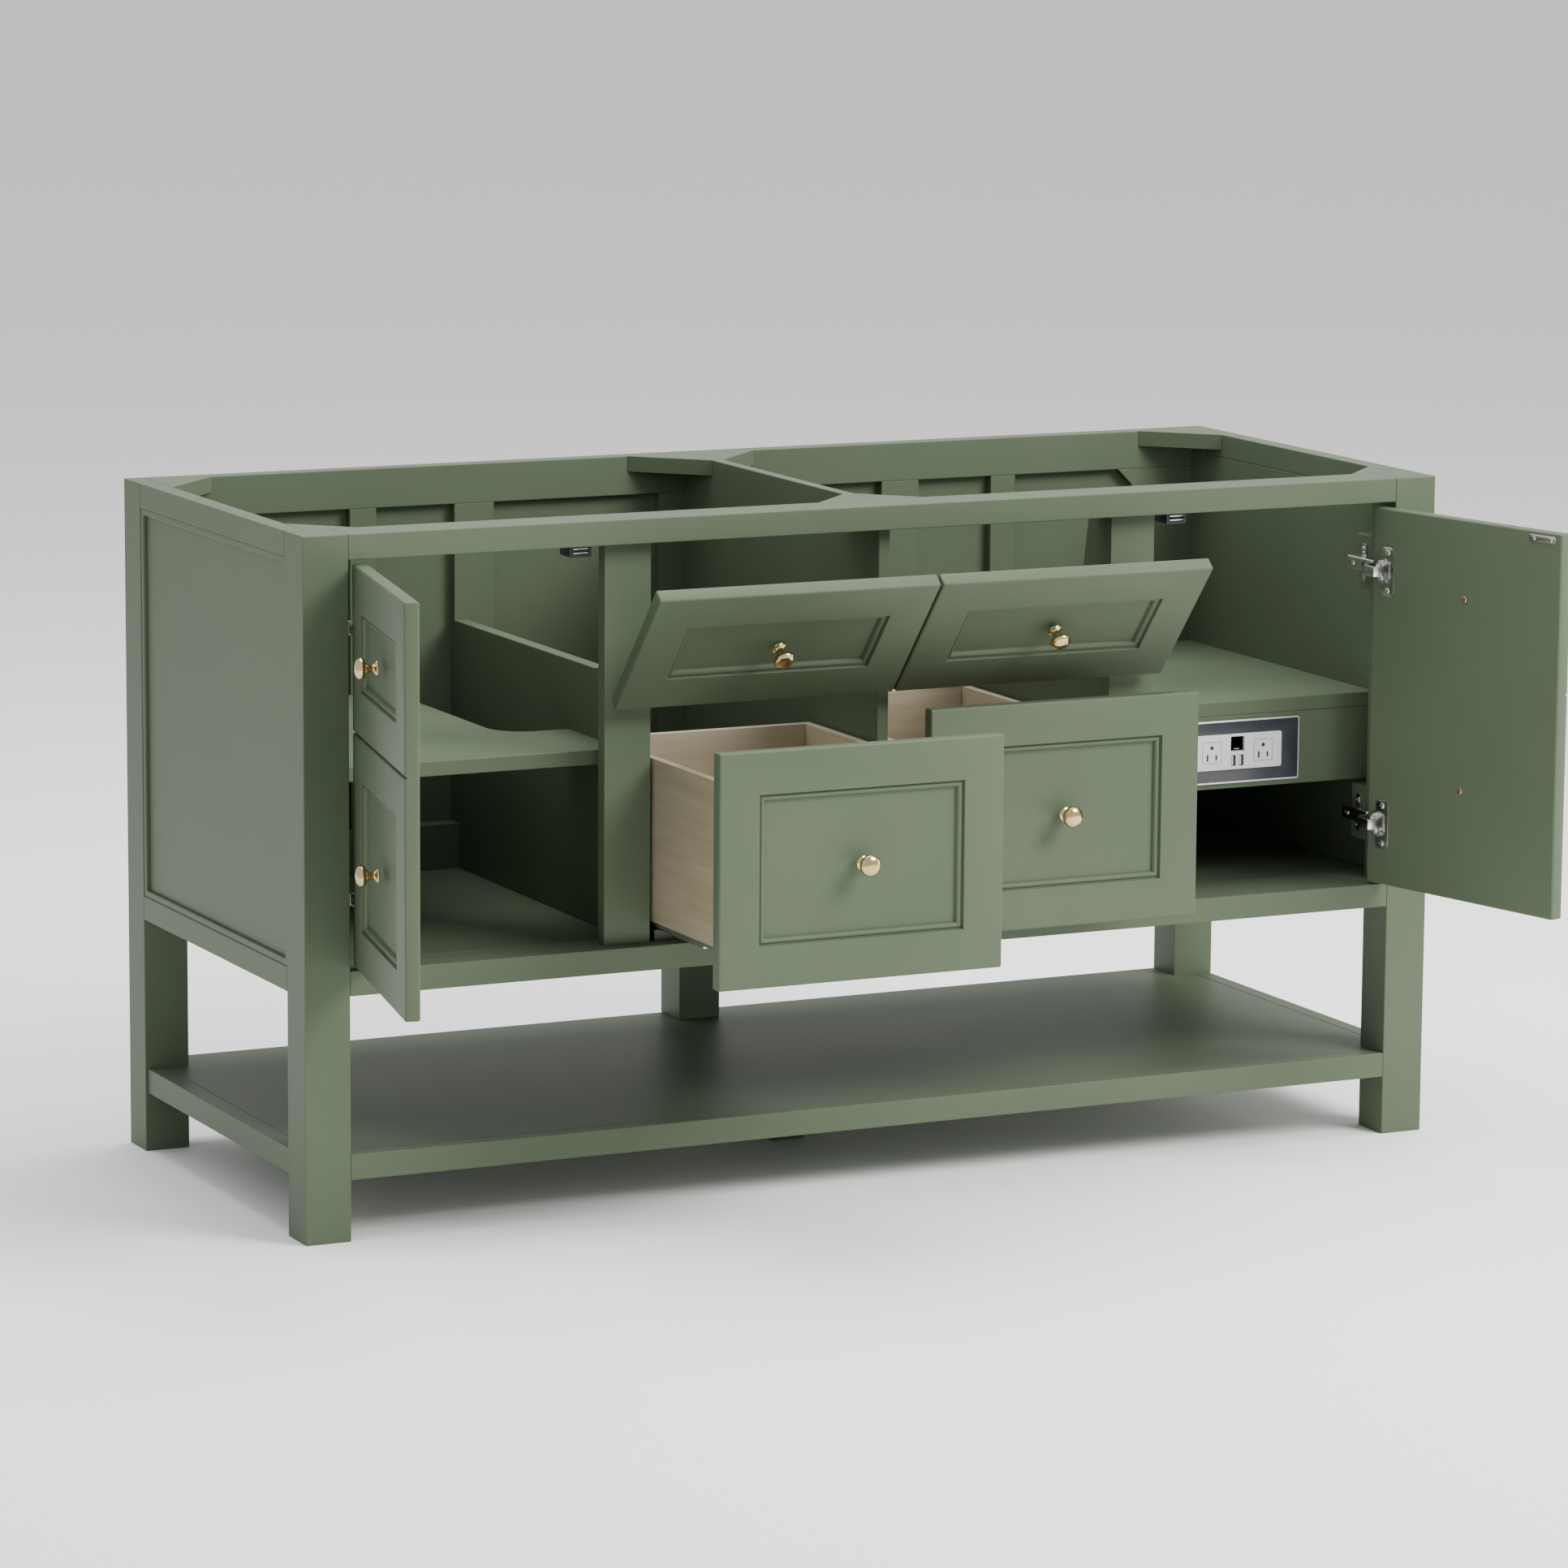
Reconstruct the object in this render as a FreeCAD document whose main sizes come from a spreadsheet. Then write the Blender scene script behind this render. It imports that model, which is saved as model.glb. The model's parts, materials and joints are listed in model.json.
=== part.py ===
import FreeCAD, Part
import os
import re
import Sketcher

# Bathroom vanity cabinet base: painted frame on legs, two hinged doors, two
# tilt-out fronts and two drawers, with an open shelf below.
# Frame: X across (left is -X), front is -Y, Z up, origin on the floor at the
# centre of the footprint. Millimetres. The moving pieces are placed part open.

V = FreeCAD.Vector
os.makedirs("parts", exist_ok=True)
doc = FreeCAD.newDocument("vanity")

# ---------------------------------------------------------------- dimensions
dims = {
    "width": 1520, "depth": 600, "height": 838,
    "leg": 57, "shell": 25, "back_lip": 10, "back_frame": 13,
    "shelf_top": 105, "shelf_rail": 31, "board": 18, "shelf_inset": 3, "rail_board": 20,
    "foot": 46, "floor_top": 324, "rail": 30, "gap": 1,
    "panel_recess": 6, "bead_wide": 8, "bead_tall": 5,
    "post_wide": 60, "post_start": 390, "post_set": 20,
    "divider_top": 640, "divider_peak": 834, "divider_mid": 739,
    "divider_foot_y": 109, "divider_mid_y": 91, "divider_peak_y": 72,
    "partition": 15, "partition_set": 22,
    "window_low": 382, "window_high": 788, "window_left": 114, "window_corner": 22, "batten": 15,
    "bay_stile": 290, "bay_stile_wide": 36, "divider_stile": 432, "divider_stile_wide": 54,
    "centre_stile": 716, "centre_stile_wide": 44,
    "block_tall": 20, "block_rear": 82, "block_front": 64,
    "shelf_level": 554, "shelf_set": 65, "shelf_gap": 2,
    "notch_x": 344, "notch_y": 222, "notch_round": 45,
    "fascia_low": 443, "fascia_set": 92,
    "front_thick": 18, "door_low": 327, "door_high": 802, "door_start": 61, "door_wide": 327.5,
    "drawer_high": 604, "tilt_low": 607, "tilt_high": 801,
    "front_start": 392, "front_wide": 366.5,
    "stile": 51, "panel_deep": 8, "split": 605, "split_wide": 3, "split_deep": 3,
    "lower_panel_low": 376.5, "lower_panel_high": 553.5,
    "upper_panel_low": 658, "upper_panel_high": 750,
    "front_bead_wide": 9, "front_bead_tall": 4, "front_bead_bevel": 3,
    "knob_head": 13, "knob_neck": 4.2, "knob_foot": 7, "knob_reach": 27,
    "knob_head_thick": 11, "knob_foot_thick": 2.5, "knob_low": 465, "knob_high": 704,
    "hinge_low": 403.5, "hinge_high": 723.5, "hinge_block": 69, "hinge_block_deep": 34,
    "cup_radius": 17.5, "cup_deep": 11, "cup_set": 22.5, "cup_wall": 1.5, "cup_over": 5,
    "flange_set": 28, "flange_wide": 22, "flange_tall": 62, "flange_thick": 1.5,
    "plate_thick": 3, "upright_set": 8, "upright_deep": 12, "upright_tall": 48,
    "tongue_deep": 28, "tongue_tall": 16,
    "arm_thick": 14, "arm_tall": 17, "arm_front": 27, "arm_back": 86, "link_tall": 13,
    "pivot_x": 68.4, "pivot_y": 4,
    "catch_start": 345, "catch_wide": 28, "catch_deep": 30, "catch_tall": 15,
    "strike_wide": 45, "strike_tall": 9.5, "strike_thick": 1.2, "strike_set": 273,
    "strike_low": 788.5, "tilt_pivot_y": 10, "tilt_pivot_z": 600,
    "bracket_tall": 70, "bracket_deep": 16, "bracket_thick": 2, "bracket_lift": 15,
    "bracket_outer": 453, "bracket_inner": 749.5,
    "box_start": 455, "box_wide": 293, "box_low": 348, "box_high": 546, "box_long": 479,
    "ply": 12, "bottom_thick": 6, "bottom_lift": 10,
    "slide_wide": 24, "slide_top": 5, "slide_mid": 4, "slide_mid_wide": 16, "slide_gap": 0.5,
    "slide_set": 2, "mid_long": 440, "mid_start": 40, "runner_short": 8,
    "pin_radius": 2.5, "pin_long": 8,
    "power_x": 533, "power_z": 490, "bezel_wide": 180, "bezel_tall": 80, "bezel_thick": 3,
    "insert_wide": 128, "insert_tall": 45.6, "insert_deep": 42, "insert_proud": 4.2,
    "outlet": 28, "outlet_shift": 37, "usb_wide": 21, "usb_tall": 41, "socket_proud": 0.6,
}
# how far the moving pieces are open, in degrees or millimetres
pose = {
    "left_door": 101.8, "right_door": 102.7, "tilt": 40.8,
    "left_drawer": 298, "right_drawer": 104,
}

sheet = doc.addObject("Spreadsheet::Sheet", "Dims")
for row, (alias, value) in enumerate(dims.items(), start=1):
    sheet.set("A%d" % row, alias)
    sheet.set("B%d" % row, str(value))
    sheet.setAlias("B%d" % row, alias)
doc.recompute()

nodes = []          # every sub-part that is written to a file
near = 0.01         # how closely points and faces must meet


def bind(item, name, formula):
    """Bind one property to a formula on the sheet's aliases."""
    on_sheet = re.sub(r"[a-z][a-z_]+\w*", lambda word: "Dims." + word.group(0), str(formula))
    item.setExpression(name, on_sheet)


def eval_formula(formula):
    """Work out a sum of products such as 'width / 2 - leg' from the sheet's values."""
    total = 0.0
    for sign, term in re.findall(r"([+-]?)\s*([^+\-\s][^+\-]*)", formula):
        product = 1.0
        for operator, factor in re.findall(r"([*/]?)\s*([\w.]+)", term):
            number = dims[factor] if factor in dims else float(factor)
            product = product / number if operator == "/" else product * number
        total += -product if sign == "-" else product
    return total


def keep(item, label):
    item.Label = label
    nodes.append(item)
    return item


def board(name, x, y, z, dx, dy, dz):
    """A rectangular board: its low corner and its three sizes, as formulas."""
    item = doc.addObject("Part::Box", name)
    for prop, formula in (("Length", dx), ("Width", dy), ("Height", dz)):
        bind(item, prop, formula)
    for axis, formula in (("x", x), ("y", y), ("z", z)):
        bind(item, "Placement.Base." + axis, formula)
    return item


def rod(name, radius, length, base, direction):
    """A cylinder from base along direction."""
    item = doc.addObject("Part::Cylinder", name)
    bind(item, "Radius", radius)
    bind(item, "Height", length)
    item.Placement = FreeCAD.Placement(V(*base), FreeCAD.Rotation(V(0, 0, 1), V(*direction)))
    return item


def mirror(item):
    copy = doc.addObject("Part::Mirroring", item.Name + "_mirror")
    copy.Source = item
    copy.Normal = V(1, 0, 0)
    return copy


def group(label, items, placement=None):
    """Separate solids that share one node."""
    item = doc.addObject("Part::Compound", label)
    item.Links = items
    if placement:
        item.Placement = placement
    return keep(item, label)


def pair(label, *items):
    """Pieces of the left side with their mirror images on the right."""
    return group(label, list(items) + [mirror(item) for item in items])


def cut(name, base, tool):
    item = doc.addObject("Part::Cut", name)
    item.Base = base
    item.Tool = tool
    return item


def fuse(name, items):
    item = doc.addObject("Part::MultiFuse", name)
    item.Shapes = items
    item.Refine = True
    return item


def plane_of(body, role):
    return next(item for item in body.Origin.OriginFeatures if item.Role == role)


def sketch_on(body, name, role, offset=0.0):
    sketch = body.newObject("Sketcher::SketchObject", name)
    sketch.AttachmentSupport = [(plane_of(body, role), "")]
    sketch.MapMode = "FlatFace"
    sketch.AttachmentOffset = FreeCAD.Placement(V(0, 0, offset), FreeCAD.Rotation())
    return sketch


def outline(sketch, points):
    """A closed outline through points given as pairs of formulas, each bound to the sheet."""
    first = sketch.GeometryCount
    count = len(points)
    flat = [V(eval_formula(u), eval_formula(v), 0) for u, v in points]
    for index in range(count):
        sketch.addGeometry(Part.LineSegment(flat[index], flat[(index + 1) % count]), False)
    for index in range(count):
        following = first + (index + 1) % count
        sketch.addConstraint(Sketcher.Constraint("Coincident", first + index, 2, following, 1))
    for index, (u, v) in enumerate(points):
        for kind, formula, size in (("DistanceX", u, flat[index].x), ("DistanceY", v, flat[index].y)):
            number = sketch.addConstraint(Sketcher.Constraint(kind, -1, 1, first + index, 1, size))
            bind(sketch, "Constraints[%d]" % number, formula)


def rectangle(left, right, low, high):
    return [(left, low), (right, low), (right, high), (left, high)]


def profile(name, role, points, length, offset=0.0, rounds=()):
    """A board of any outline: a sketch padded by length, with rounded corners at some points."""
    body = doc.addObject("PartDesign::Body", name)
    sketch = sketch_on(body, name + "_outline", role, offset)
    outline(sketch, points)
    pad = body.newObject("PartDesign::Pad", name + "_pad")
    pad.Profile = sketch
    bind(pad, "Length", length)
    doc.recompute()
    normal = sketch.Placement.Rotation.multVec(V(0, 0, 1))
    for index, radius in rounds:
        u, v = points[index]
        corner = sketch.Placement.multVec(V(eval_formula(u), eval_formula(v), 0))
        padded = body.Tip
        numbers = [number for number, edge in enumerate(padded.Shape.Edges, start=1)
                   if all((vertex.Point - corner).cross(normal).Length < near for vertex in edge.Vertexes)]
        fillet = body.newObject("PartDesign::Fillet", name + "_round")
        fillet.Base = (padded, ["Edge%d" % numbers[0]])
        bind(fillet, "Radius", radius)
        doc.recompute()
    return body


front = "-depth / 2"
back = "depth / 2"
left = "-width / 2"

# ------------------------------------------------------------- legs and rails
pair("front_legs", board("front_leg", left, front, 0, "leg", "leg", "height"))

rear_leg = board("rear_leg_blank", left, "depth / 2 - leg", 0, "leg", "leg", "height")
rear_rebate = board("rear_leg_rebate", "shell - width / 2", "depth / 2 - leg", "floor_top - rail",
                    "leg", "leg - back_lip", "height")
pair("rear_legs", cut("rear_leg", rear_leg, rear_rebate))

keep(board("rear_centre_leg_board", "-leg / 2", "depth / 2 - leg", "shelf_top", "leg", "leg",
           "floor_top - rail - shelf_top"), "rear_centre_leg")
keep(board("centre_foot_board", "-foot / 2", "-foot / 2", 0, "foot", "foot", "shelf_top - board"),
     "centre_foot")

between_legs = "width - leg - leg"
beside_legs = "depth - leg - leg"
keep(board("top_front", "leg - width / 2", front, "height - rail", between_legs, "leg", "rail"),
     "top_front_rail")
keep(board("bottom_front", "leg - width / 2", front, "floor_top - rail", between_legs, "leg", "rail"),
     "bottom_front_rail")
keep(board("bottom_rear", "leg - width / 2", "depth / 2 - back_lip - back_frame", "floor_top - rail",
           between_legs, "back_lip + back_frame", "rail"), "bottom_rear_rail")
pair("side_rails",
     board("top_side", left, "leg - depth / 2", "height - rail", "shell", beside_legs, "rail"),
     board("bottom_side", left, "leg - depth / 2", "floor_top - rail", "shell", beside_legs, "rail"))

# side panels stand back from the rails, with a bead round the recess
pair("side_panels", board("side_panel", "panel_recess - width / 2", "leg - depth / 2", "floor_top",
                          "shell - panel_recess", beside_legs, "height - rail - floor_top"))


def side_bead():
    body = doc.addObject("PartDesign::Body", "side_bead")
    sketch = sketch_on(body, "side_bead_outline", "YZ_Plane")
    outline(sketch, rectangle("leg - depth / 2", "depth / 2 - leg", "floor_top", "height - rail"))
    outline(sketch, rectangle("leg + bead_wide - depth / 2", "depth / 2 - leg - bead_wide",
                              "floor_top + bead_wide", "height - rail - bead_wide"))
    pad = body.newObject("PartDesign::Pad", "side_bead_pad")
    pad.Profile = sketch
    bind(pad, "Length", "bead_tall")
    doc.recompute()
    body.Placement.Base.x = eval_formula("panel_recess - bead_tall - width / 2")
    return body


pair("side_beads", side_bead())

# --------------------------------------------------------------- lower shelf
inner_x = "width / 2 - shell - gap"
notch_x = "width / 2 - leg"
notch_y = "depth / 2 - leg"
shelf_front = "rail_board - depth / 2"
slab_points = [
    ("leg - width / 2", shelf_front), (notch_x, shelf_front), (notch_x, "leg - depth / 2"),
    (inner_x, "leg - depth / 2"), (inner_x, notch_y), (notch_x, notch_y), (notch_x, back),
    ("leg - width / 2", back), ("leg - width / 2", notch_y), ("shell + gap - width / 2", notch_y),
    ("shell + gap - width / 2", "leg - depth / 2"), ("leg - width / 2", "leg - depth / 2"),
]
lower_shelf = profile("lower_shelf_board", "XY_Plane", slab_points, "board")
lower_shelf.Placement.Base.z = eval_formula("shelf_top - board")
keep(lower_shelf, "lower_shelf")
shelf_side = board("shelf_side_rail", "shelf_inset - width / 2", "leg - depth / 2",
                   "shelf_top - shelf_rail", "shell + gap - shelf_inset", beside_legs, "shelf_rail")
group("shelf_rails", [
    board("shelf_front_rail", "leg - width / 2", front, "shelf_top - shelf_rail", between_legs,
          "rail_board", "shelf_rail"),
    shelf_side, mirror(shelf_side),
])

# ------------------------------------------------------- inside of the cabinet
inside_left = "shell - width / 2"
inside_wide = "width - shell - shell"
inside_back = "depth / 2 - back_lip - back_frame"
keep(board("floor_board", inside_left, "leg - depth / 2", "floor_top - board", inside_wide,
           "depth - leg - back_lip - back_frame", "board"), "cabinet_floor")
pair("posts", board("post", "post_start - width / 2", "post_set - depth / 2", "floor_top", "post_wide",
                    "board", "height - rail - floor_top"))

divider_front = "post_set + board - depth / 2"
divider_points = [
    (divider_front, "floor_top"), (inside_back, "floor_top"), (inside_back, "divider_top"),
    ("divider_foot_y - depth / 2", "divider_top"), ("divider_mid_y - depth / 2", "divider_mid"),
    ("divider_peak_y - depth / 2", "divider_peak"), ("leg - depth / 2", "divider_peak"),
    ("leg - depth / 2", "height - rail"), (divider_front, "height - rail"),
]
divider = profile("divider", "YZ_Plane", divider_points, "board", rounds=[(3, "notch_round")])
divider.Placement.Base.x = eval_formula("post_start + post_wide - board - width / 2")
pair("dividers", divider)

partition_points = [
    ("partition_set - depth / 2", "floor_top"), (inside_back, "floor_top"), (inside_back, "height"),
    ("leg - depth / 2", "height"), ("leg - depth / 2", "height - rail"),
    ("partition_set - depth / 2", "height - rail"),
]
partition = profile("partition_board", "YZ_Plane", partition_points, "partition")
partition.Placement.Base.x = eval_formula("-partition / 2")
keep(partition, "centre_partition")

# back: a frame of rails and stiles with a thin panel behind it
keep(board("back_sheet", "leg - width / 2", "depth / 2 - back_lip", "floor_top", between_legs,
           "back_lip", "height - floor_top"), "back_panel")
batten = board("back_batten", inside_left, "depth / 2 - back_lip - back_frame - batten", "floor_top",
               "post_start + post_wide - board - shell", "batten", "window_low - floor_top")
group("back_rails", [
    board("back_top_rail", inside_left, inside_back, "window_high", inside_wide, "back_frame",
          "height - window_high"),
    board("back_low_rail", inside_left, inside_back, "floor_top", inside_wide, "back_frame",
          "window_low - floor_top"),
    batten, mirror(batten),
])
stile_spans = {
    "corner": ("shell", "window_left - shell"), "bay": ("bay_stile", "bay_stile_wide"),
    "divider": ("divider_stile", "divider_stile_wide"), "centre": ("centre_stile", "centre_stile_wide"),
}
stiles = [board("stile_" + name, start + " - width / 2", inside_back, "window_low", wide,
                "back_frame", "window_high - window_low") for name, (start, wide) in stile_spans.items()]
gusset = profile("window_gusset", "XZ_Plane", [
    ("window_left - width / 2", "window_high - window_corner"),
    ("window_left + window_corner - width / 2", "window_high"),
    ("window_left - width / 2", "window_high")], "back_frame")
gusset.Placement.Base.y = eval_formula("depth / 2 - back_lip")
pair("back_stiles", *(stiles + [gusset]))


def corner_block(name, corner_x, corner_y, toward_x, toward_y, size):
    """A triangular block in a corner of the carcass, flush with its top."""
    body = profile(name, "XY_Plane", [
        (corner_x, corner_y), ("%s %s %s" % (corner_x, toward_x, size), corner_y),
        (corner_x, "%s %s %s" % (corner_y, toward_y, size))], "block_tall")
    body.Placement.Base.z = eval_formula("height - block_tall")
    return body


pair("corner_blocks",
     corner_block("block_rear", inside_left, inside_back, "+", "-", "block_rear"),
     corner_block("block_front", inside_left, "leg - depth / 2", "+", "+", "block_front"),
     corner_block("block_centre_rear", "-partition / 2", inside_back, "-", "-", "block_rear"),
     corner_block("block_centre_front", "-partition / 2", "leg - depth / 2", "-", "+", "block_front"))

# ------------------------------------------------------------ shelves and pins
bay_right = "post_start + post_wide - board - width / 2"
left_shelf = profile("left_shelf_board", "XY_Plane", [
    ("shell + gap - width / 2", "shelf_set - depth / 2"), (bay_right, "shelf_set - depth / 2"),
    (bay_right, "notch_y - depth / 2"), ("notch_x - width / 2", "notch_y - depth / 2"),
    ("notch_x - width / 2", "depth / 2 - back_lip - back_frame - shelf_gap"),
    ("shell + gap - width / 2", "depth / 2 - back_lip - back_frame - shelf_gap")],
    "board", rounds=[(3, "notch_round")])
left_shelf.Placement.Base.z = eval_formula("shelf_level - board")
keep(left_shelf, "left_shelf")

right_start = "width / 2 - post_start - post_wide + board"
right_long = "post_start + post_wide - board - shell"
keep(board("right_shelf_board", right_start, "fascia_set - depth / 2", "shelf_level - board",
           right_long, "depth - fascia_set - back_lip - back_frame - shelf_gap", "board"), "right_shelf")

# distances of the pins from the front, on the side panel and on the divider of each bay
half_width = dims["width"] / 2
half_depth = dims["depth"] / 2
divider_x = dims["post_start"] + dims["post_wide"] - dims["board"]
pin_rows = [(-1, dims["shell"], 1, (110, 520)), (-1, divider_x, -1, (110, 200)),
            (1, dims["shell"], 1, (150, 520)), (1, divider_x, -1, (150, 520))]
pin_z = dims["shelf_level"] - dims["board"] - dims["pin_radius"]
pins = []
for side, x, inward, distances in pin_rows:
    for y in distances:
        base = (side * (half_width - x), y - half_depth, pin_z)
        pins.append(rod("pin_%d" % len(pins), "pin_radius", "pin_long", base, (-side * inward, 0, 0)))
group("shelf_pins", pins)

# --------------------------------------------------------------- power outlet
fascia = board("fascia_board", right_start, "fascia_set - depth / 2", "fascia_low", right_long, "board",
               "shelf_level - board - fascia_low")
fascia_hole = board("fascia_hole", "power_x - insert_wide / 2 - gap", "fascia_set - depth / 2 - gap",
                    "power_z - insert_tall / 2 - gap", "insert_wide + gap + gap", "board + gap + gap",
                    "insert_tall + gap + gap")
keep(cut("fascia_cut", fascia, fascia_hole), "power_fascia")
bezel = board("bezel_blank", "power_x - bezel_wide / 2", "fascia_set - depth / 2 - bezel_thick",
              "power_z - bezel_tall / 2", "bezel_wide", "bezel_thick", "bezel_tall")
bezel_hole = board("bezel_hole", "power_x - insert_wide / 2",
                   "fascia_set - depth / 2 - bezel_thick - gap", "power_z - insert_tall / 2",
                   "insert_wide", "bezel_thick + gap + gap", "insert_tall")
keep(cut("bezel_cut", bezel, bezel_hole), "power_bezel")
keep(board("insert_block", "power_x - insert_wide / 2", "fascia_set - depth / 2 - insert_proud",
           "power_z - insert_tall / 2", "insert_wide", "insert_deep", "insert_tall"), "power_insert")
socket_y = "fascia_set - depth / 2 - insert_proud - socket_proud"
socket_parts = [board("outlet_%s" % name, "power_x %s outlet_shift - outlet / 2" % sign, socket_y,
                      "power_z - outlet / 2", "outlet", "socket_proud", "outlet")
                for name, sign in (("left", "-"), ("right", "+"))]
socket_parts.append(board("usb_block", "power_x - usb_wide / 2", socket_y, "power_z - usb_tall / 2",
                          "usb_wide", "socket_proud", "usb_tall"))
group("power_sockets", socket_parts)


# ------------------------------------------------------------ fronts and knobs
def panelled_front(name, wide, tall, panels, placement, bores=()):
    """A slab front with beaded recessed panels; x runs from its left edge and z from its bottom."""
    body = doc.addObject("PartDesign::Body", name)
    slab = sketch_on(body, name + "_slab", "XZ_Plane")
    outline(slab, rectangle("0", wide, "0", tall))
    pad = body.newObject("PartDesign::Pad", name + "_pad")
    pad.Profile = slab
    pad.Reversed = True
    bind(pad, "Length", "front_thick")
    doc.recompute()
    solid_volume = body.Shape.Volume
    recess = sketch_on(body, name + "_recess", "XZ_Plane")
    for low, high in panels:
        outline(recess, rectangle("stile", wide + " - stile", low, high))
    pocket = body.newObject("PartDesign::Pocket", name + "_pocket")
    pocket.Profile = recess
    bind(pocket, "Length", "panel_deep")
    doc.recompute()
    if body.Shape.Volume >= solid_volume:
        raise ValueError(name + ": the panel recess cut nothing")
    bead = sketch_on(body, name + "_bead", "XZ_Plane", -dims["panel_deep"])
    bind(bead, "AttachmentOffset.Base.z", "-panel_deep")
    for low, high in panels:
        outline(bead, rectangle("stile", wide + " - stile", low, high))
        outline(bead, rectangle("stile + front_bead_wide", wide + " - stile - front_bead_wide",
                                low + " + front_bead_wide", high + " - front_bead_wide"))
    ring = body.newObject("PartDesign::Pad", name + "_bead_pad")
    ring.Profile = bead
    bind(ring, "Length", "front_bead_tall")
    doc.recompute()
    inner = eval_formula("stile + front_bead_wide")
    crest = eval_formula("panel_deep - front_bead_tall")
    right_edge = eval_formula(wide) - inner
    edges = []
    for number, edge in enumerate(body.Tip.Shape.Edges, start=1):
        middle = edge.BoundBox.Center
        at_crest = abs(middle.y - crest) < near and edge.BoundBox.YLength < near
        inside = inner - near < middle.x < right_edge + near
        if at_crest and inside and any(
                eval_formula(low) + dims["front_bead_wide"] - near < middle.z
                < eval_formula(high) - dims["front_bead_wide"] + near for low, high in panels):
            edges.append("Edge%d" % number)
    bevel = body.newObject("PartDesign::Chamfer", name + "_bevel")
    bevel.Base = (ring, edges)
    bind(bevel, "Size", "front_bead_bevel")
    doc.recompute()
    for number, tool in enumerate(bores):
        tool(body, "%s_cut%d" % (name, number))
    body.Placement = placement
    return body


def split_groove(body, name):
    """A groove across the door that makes it read as two fronts."""
    sketch = sketch_on(body, name, "XZ_Plane")
    outline(sketch, rectangle("0", "door_wide", "split - door_low - split_wide / 2",
                              "split - door_low + split_wide / 2"))
    pocket = body.newObject("PartDesign::Pocket", name + "_pocket")
    pocket.Profile = sketch
    bind(pocket, "Length", "split_deep")
    doc.recompute()


def cup_bores(hinge_from_left):
    def cut_bores(body, name):
        sketch = sketch_on(body, name, "XZ_Plane", -dims["front_thick"])
        bind(sketch, "AttachmentOffset.Base.z", "-front_thick")
        x = "cup_set" if hinge_from_left else "door_wide - cup_set"
        for height in ("hinge_low", "hinge_high"):
            centre = V(eval_formula(x), dims[height] - dims["door_low"], 0)
            circle = sketch.addGeometry(Part.Circle(centre, V(0, 0, 1), dims["cup_radius"]), False)
            bound = (("DistanceX", x, centre.x), ("DistanceY", height + " - door_low", centre.y))
            for kind, formula, size in bound:
                number = sketch.addConstraint(Sketcher.Constraint(kind, -1, 1, circle, 3, size))
                bind(sketch, "Constraints[%d]" % number, formula)
            number = sketch.addConstraint(Sketcher.Constraint("Radius", circle, dims["cup_radius"]))
            bind(sketch, "Constraints[%d]" % number, "cup_radius")
        pocket = body.newObject("PartDesign::Pocket", name + "_pocket")
        pocket.Profile = sketch
        pocket.Reversed = True
        bind(pocket, "Length", "cup_deep")
        doc.recompute()
    return cut_bores


def knob(name, x, z):
    """A turned knob on a front face, standing out along -Y."""
    out = (0, -1, 0)
    foot = rod(name + "_foot", "knob_foot", "knob_foot_thick", (x, -half_depth, z), out)
    neck = rod(name + "_neck", "knob_neck", "knob_reach - gap", (x, -half_depth, z), out)
    head_y = dims["knob_head_thick"] - dims["knob_reach"] - half_depth
    head = rod(name + "_head", "knob_head", "knob_head_thick", (x, head_y, z), out)
    return fuse(name + "_turned", [foot, neck, head])


def turned(point, axis, angle):
    return FreeCAD.Placement(V(0, 0, 0), FreeCAD.Rotation(V(*axis), angle), V(*point))


def at(x, y, z):
    return FreeCAD.Placement(V(x, y, z), FreeCAD.Rotation())


# -------------------------------------------------------------------- hinges
hinge_heights = {"low": "hinge_low", "high": "hinge_high"}
blocks, plates, arms = [], [], []
for name, height in hinge_heights.items():
    blocks.append(board("hinge_block_" + name, inside_left, "leg - depth / 2",
                        height + " - hinge_block / 2", "leg - shell", "hinge_block_deep", "hinge_block"))
    upright = board("plate_upright_" + name, "leg - width / 2", "leg + upright_set - depth / 2",
                    height + " - upright_tall / 2", "plate_thick", "upright_deep", "upright_tall")
    tongue = board("plate_tongue_" + name, "leg - width / 2", "leg + gap - depth / 2",
                   height + " - tongue_tall / 2", "plate_thick", "tongue_deep", "tongue_tall")
    plates.append(fuse("hinge_plate_" + name, [upright, tongue]))
    arms.append(board("hinge_arm_" + name, "leg + plate_thick - width / 2", "arm_front - depth / 2",
                      height + " - arm_tall / 2", "arm_thick", "arm_back - arm_front", "arm_tall"))
pair("hinge_blocks", *blocks)
pair("hinge_arms", *(arms + plates))

# a bent link in plan, as distances in from the cabinet's side and back from its front
link_route = [(71, 21.5), (72, 25.5), (77, 25), (94, 15), (96, 8), (96, -14), (81.5, -15.5),
              (81.5, -10.5), (91, -9), (91, 6), (89, 11), (74, 20)]


def hinge_links(side, sign):
    turned_x = "%g - width / 2" if sign < 0 else "width / 2 - %g"
    links = []
    for name, height in hinge_heights.items():
        body = doc.addObject("PartDesign::Body", "link_%s_%s" % (side, name))
        sketch = sketch_on(body, "link_outline_%s_%s" % (side, name), "XY_Plane")
        outline(sketch, [(turned_x % x, "%g - depth / 2" % y) for x, y in link_route])
        pad = body.newObject("PartDesign::Pad", "link_pad_%s_%s" % (side, name))
        pad.Profile = sketch
        bind(pad, "Length", "link_tall")
        body.Placement.Base.z = eval_formula(height + " - link_tall / 2")
        links.append(body)
    return group(side + "_hinge_links", links)


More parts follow.
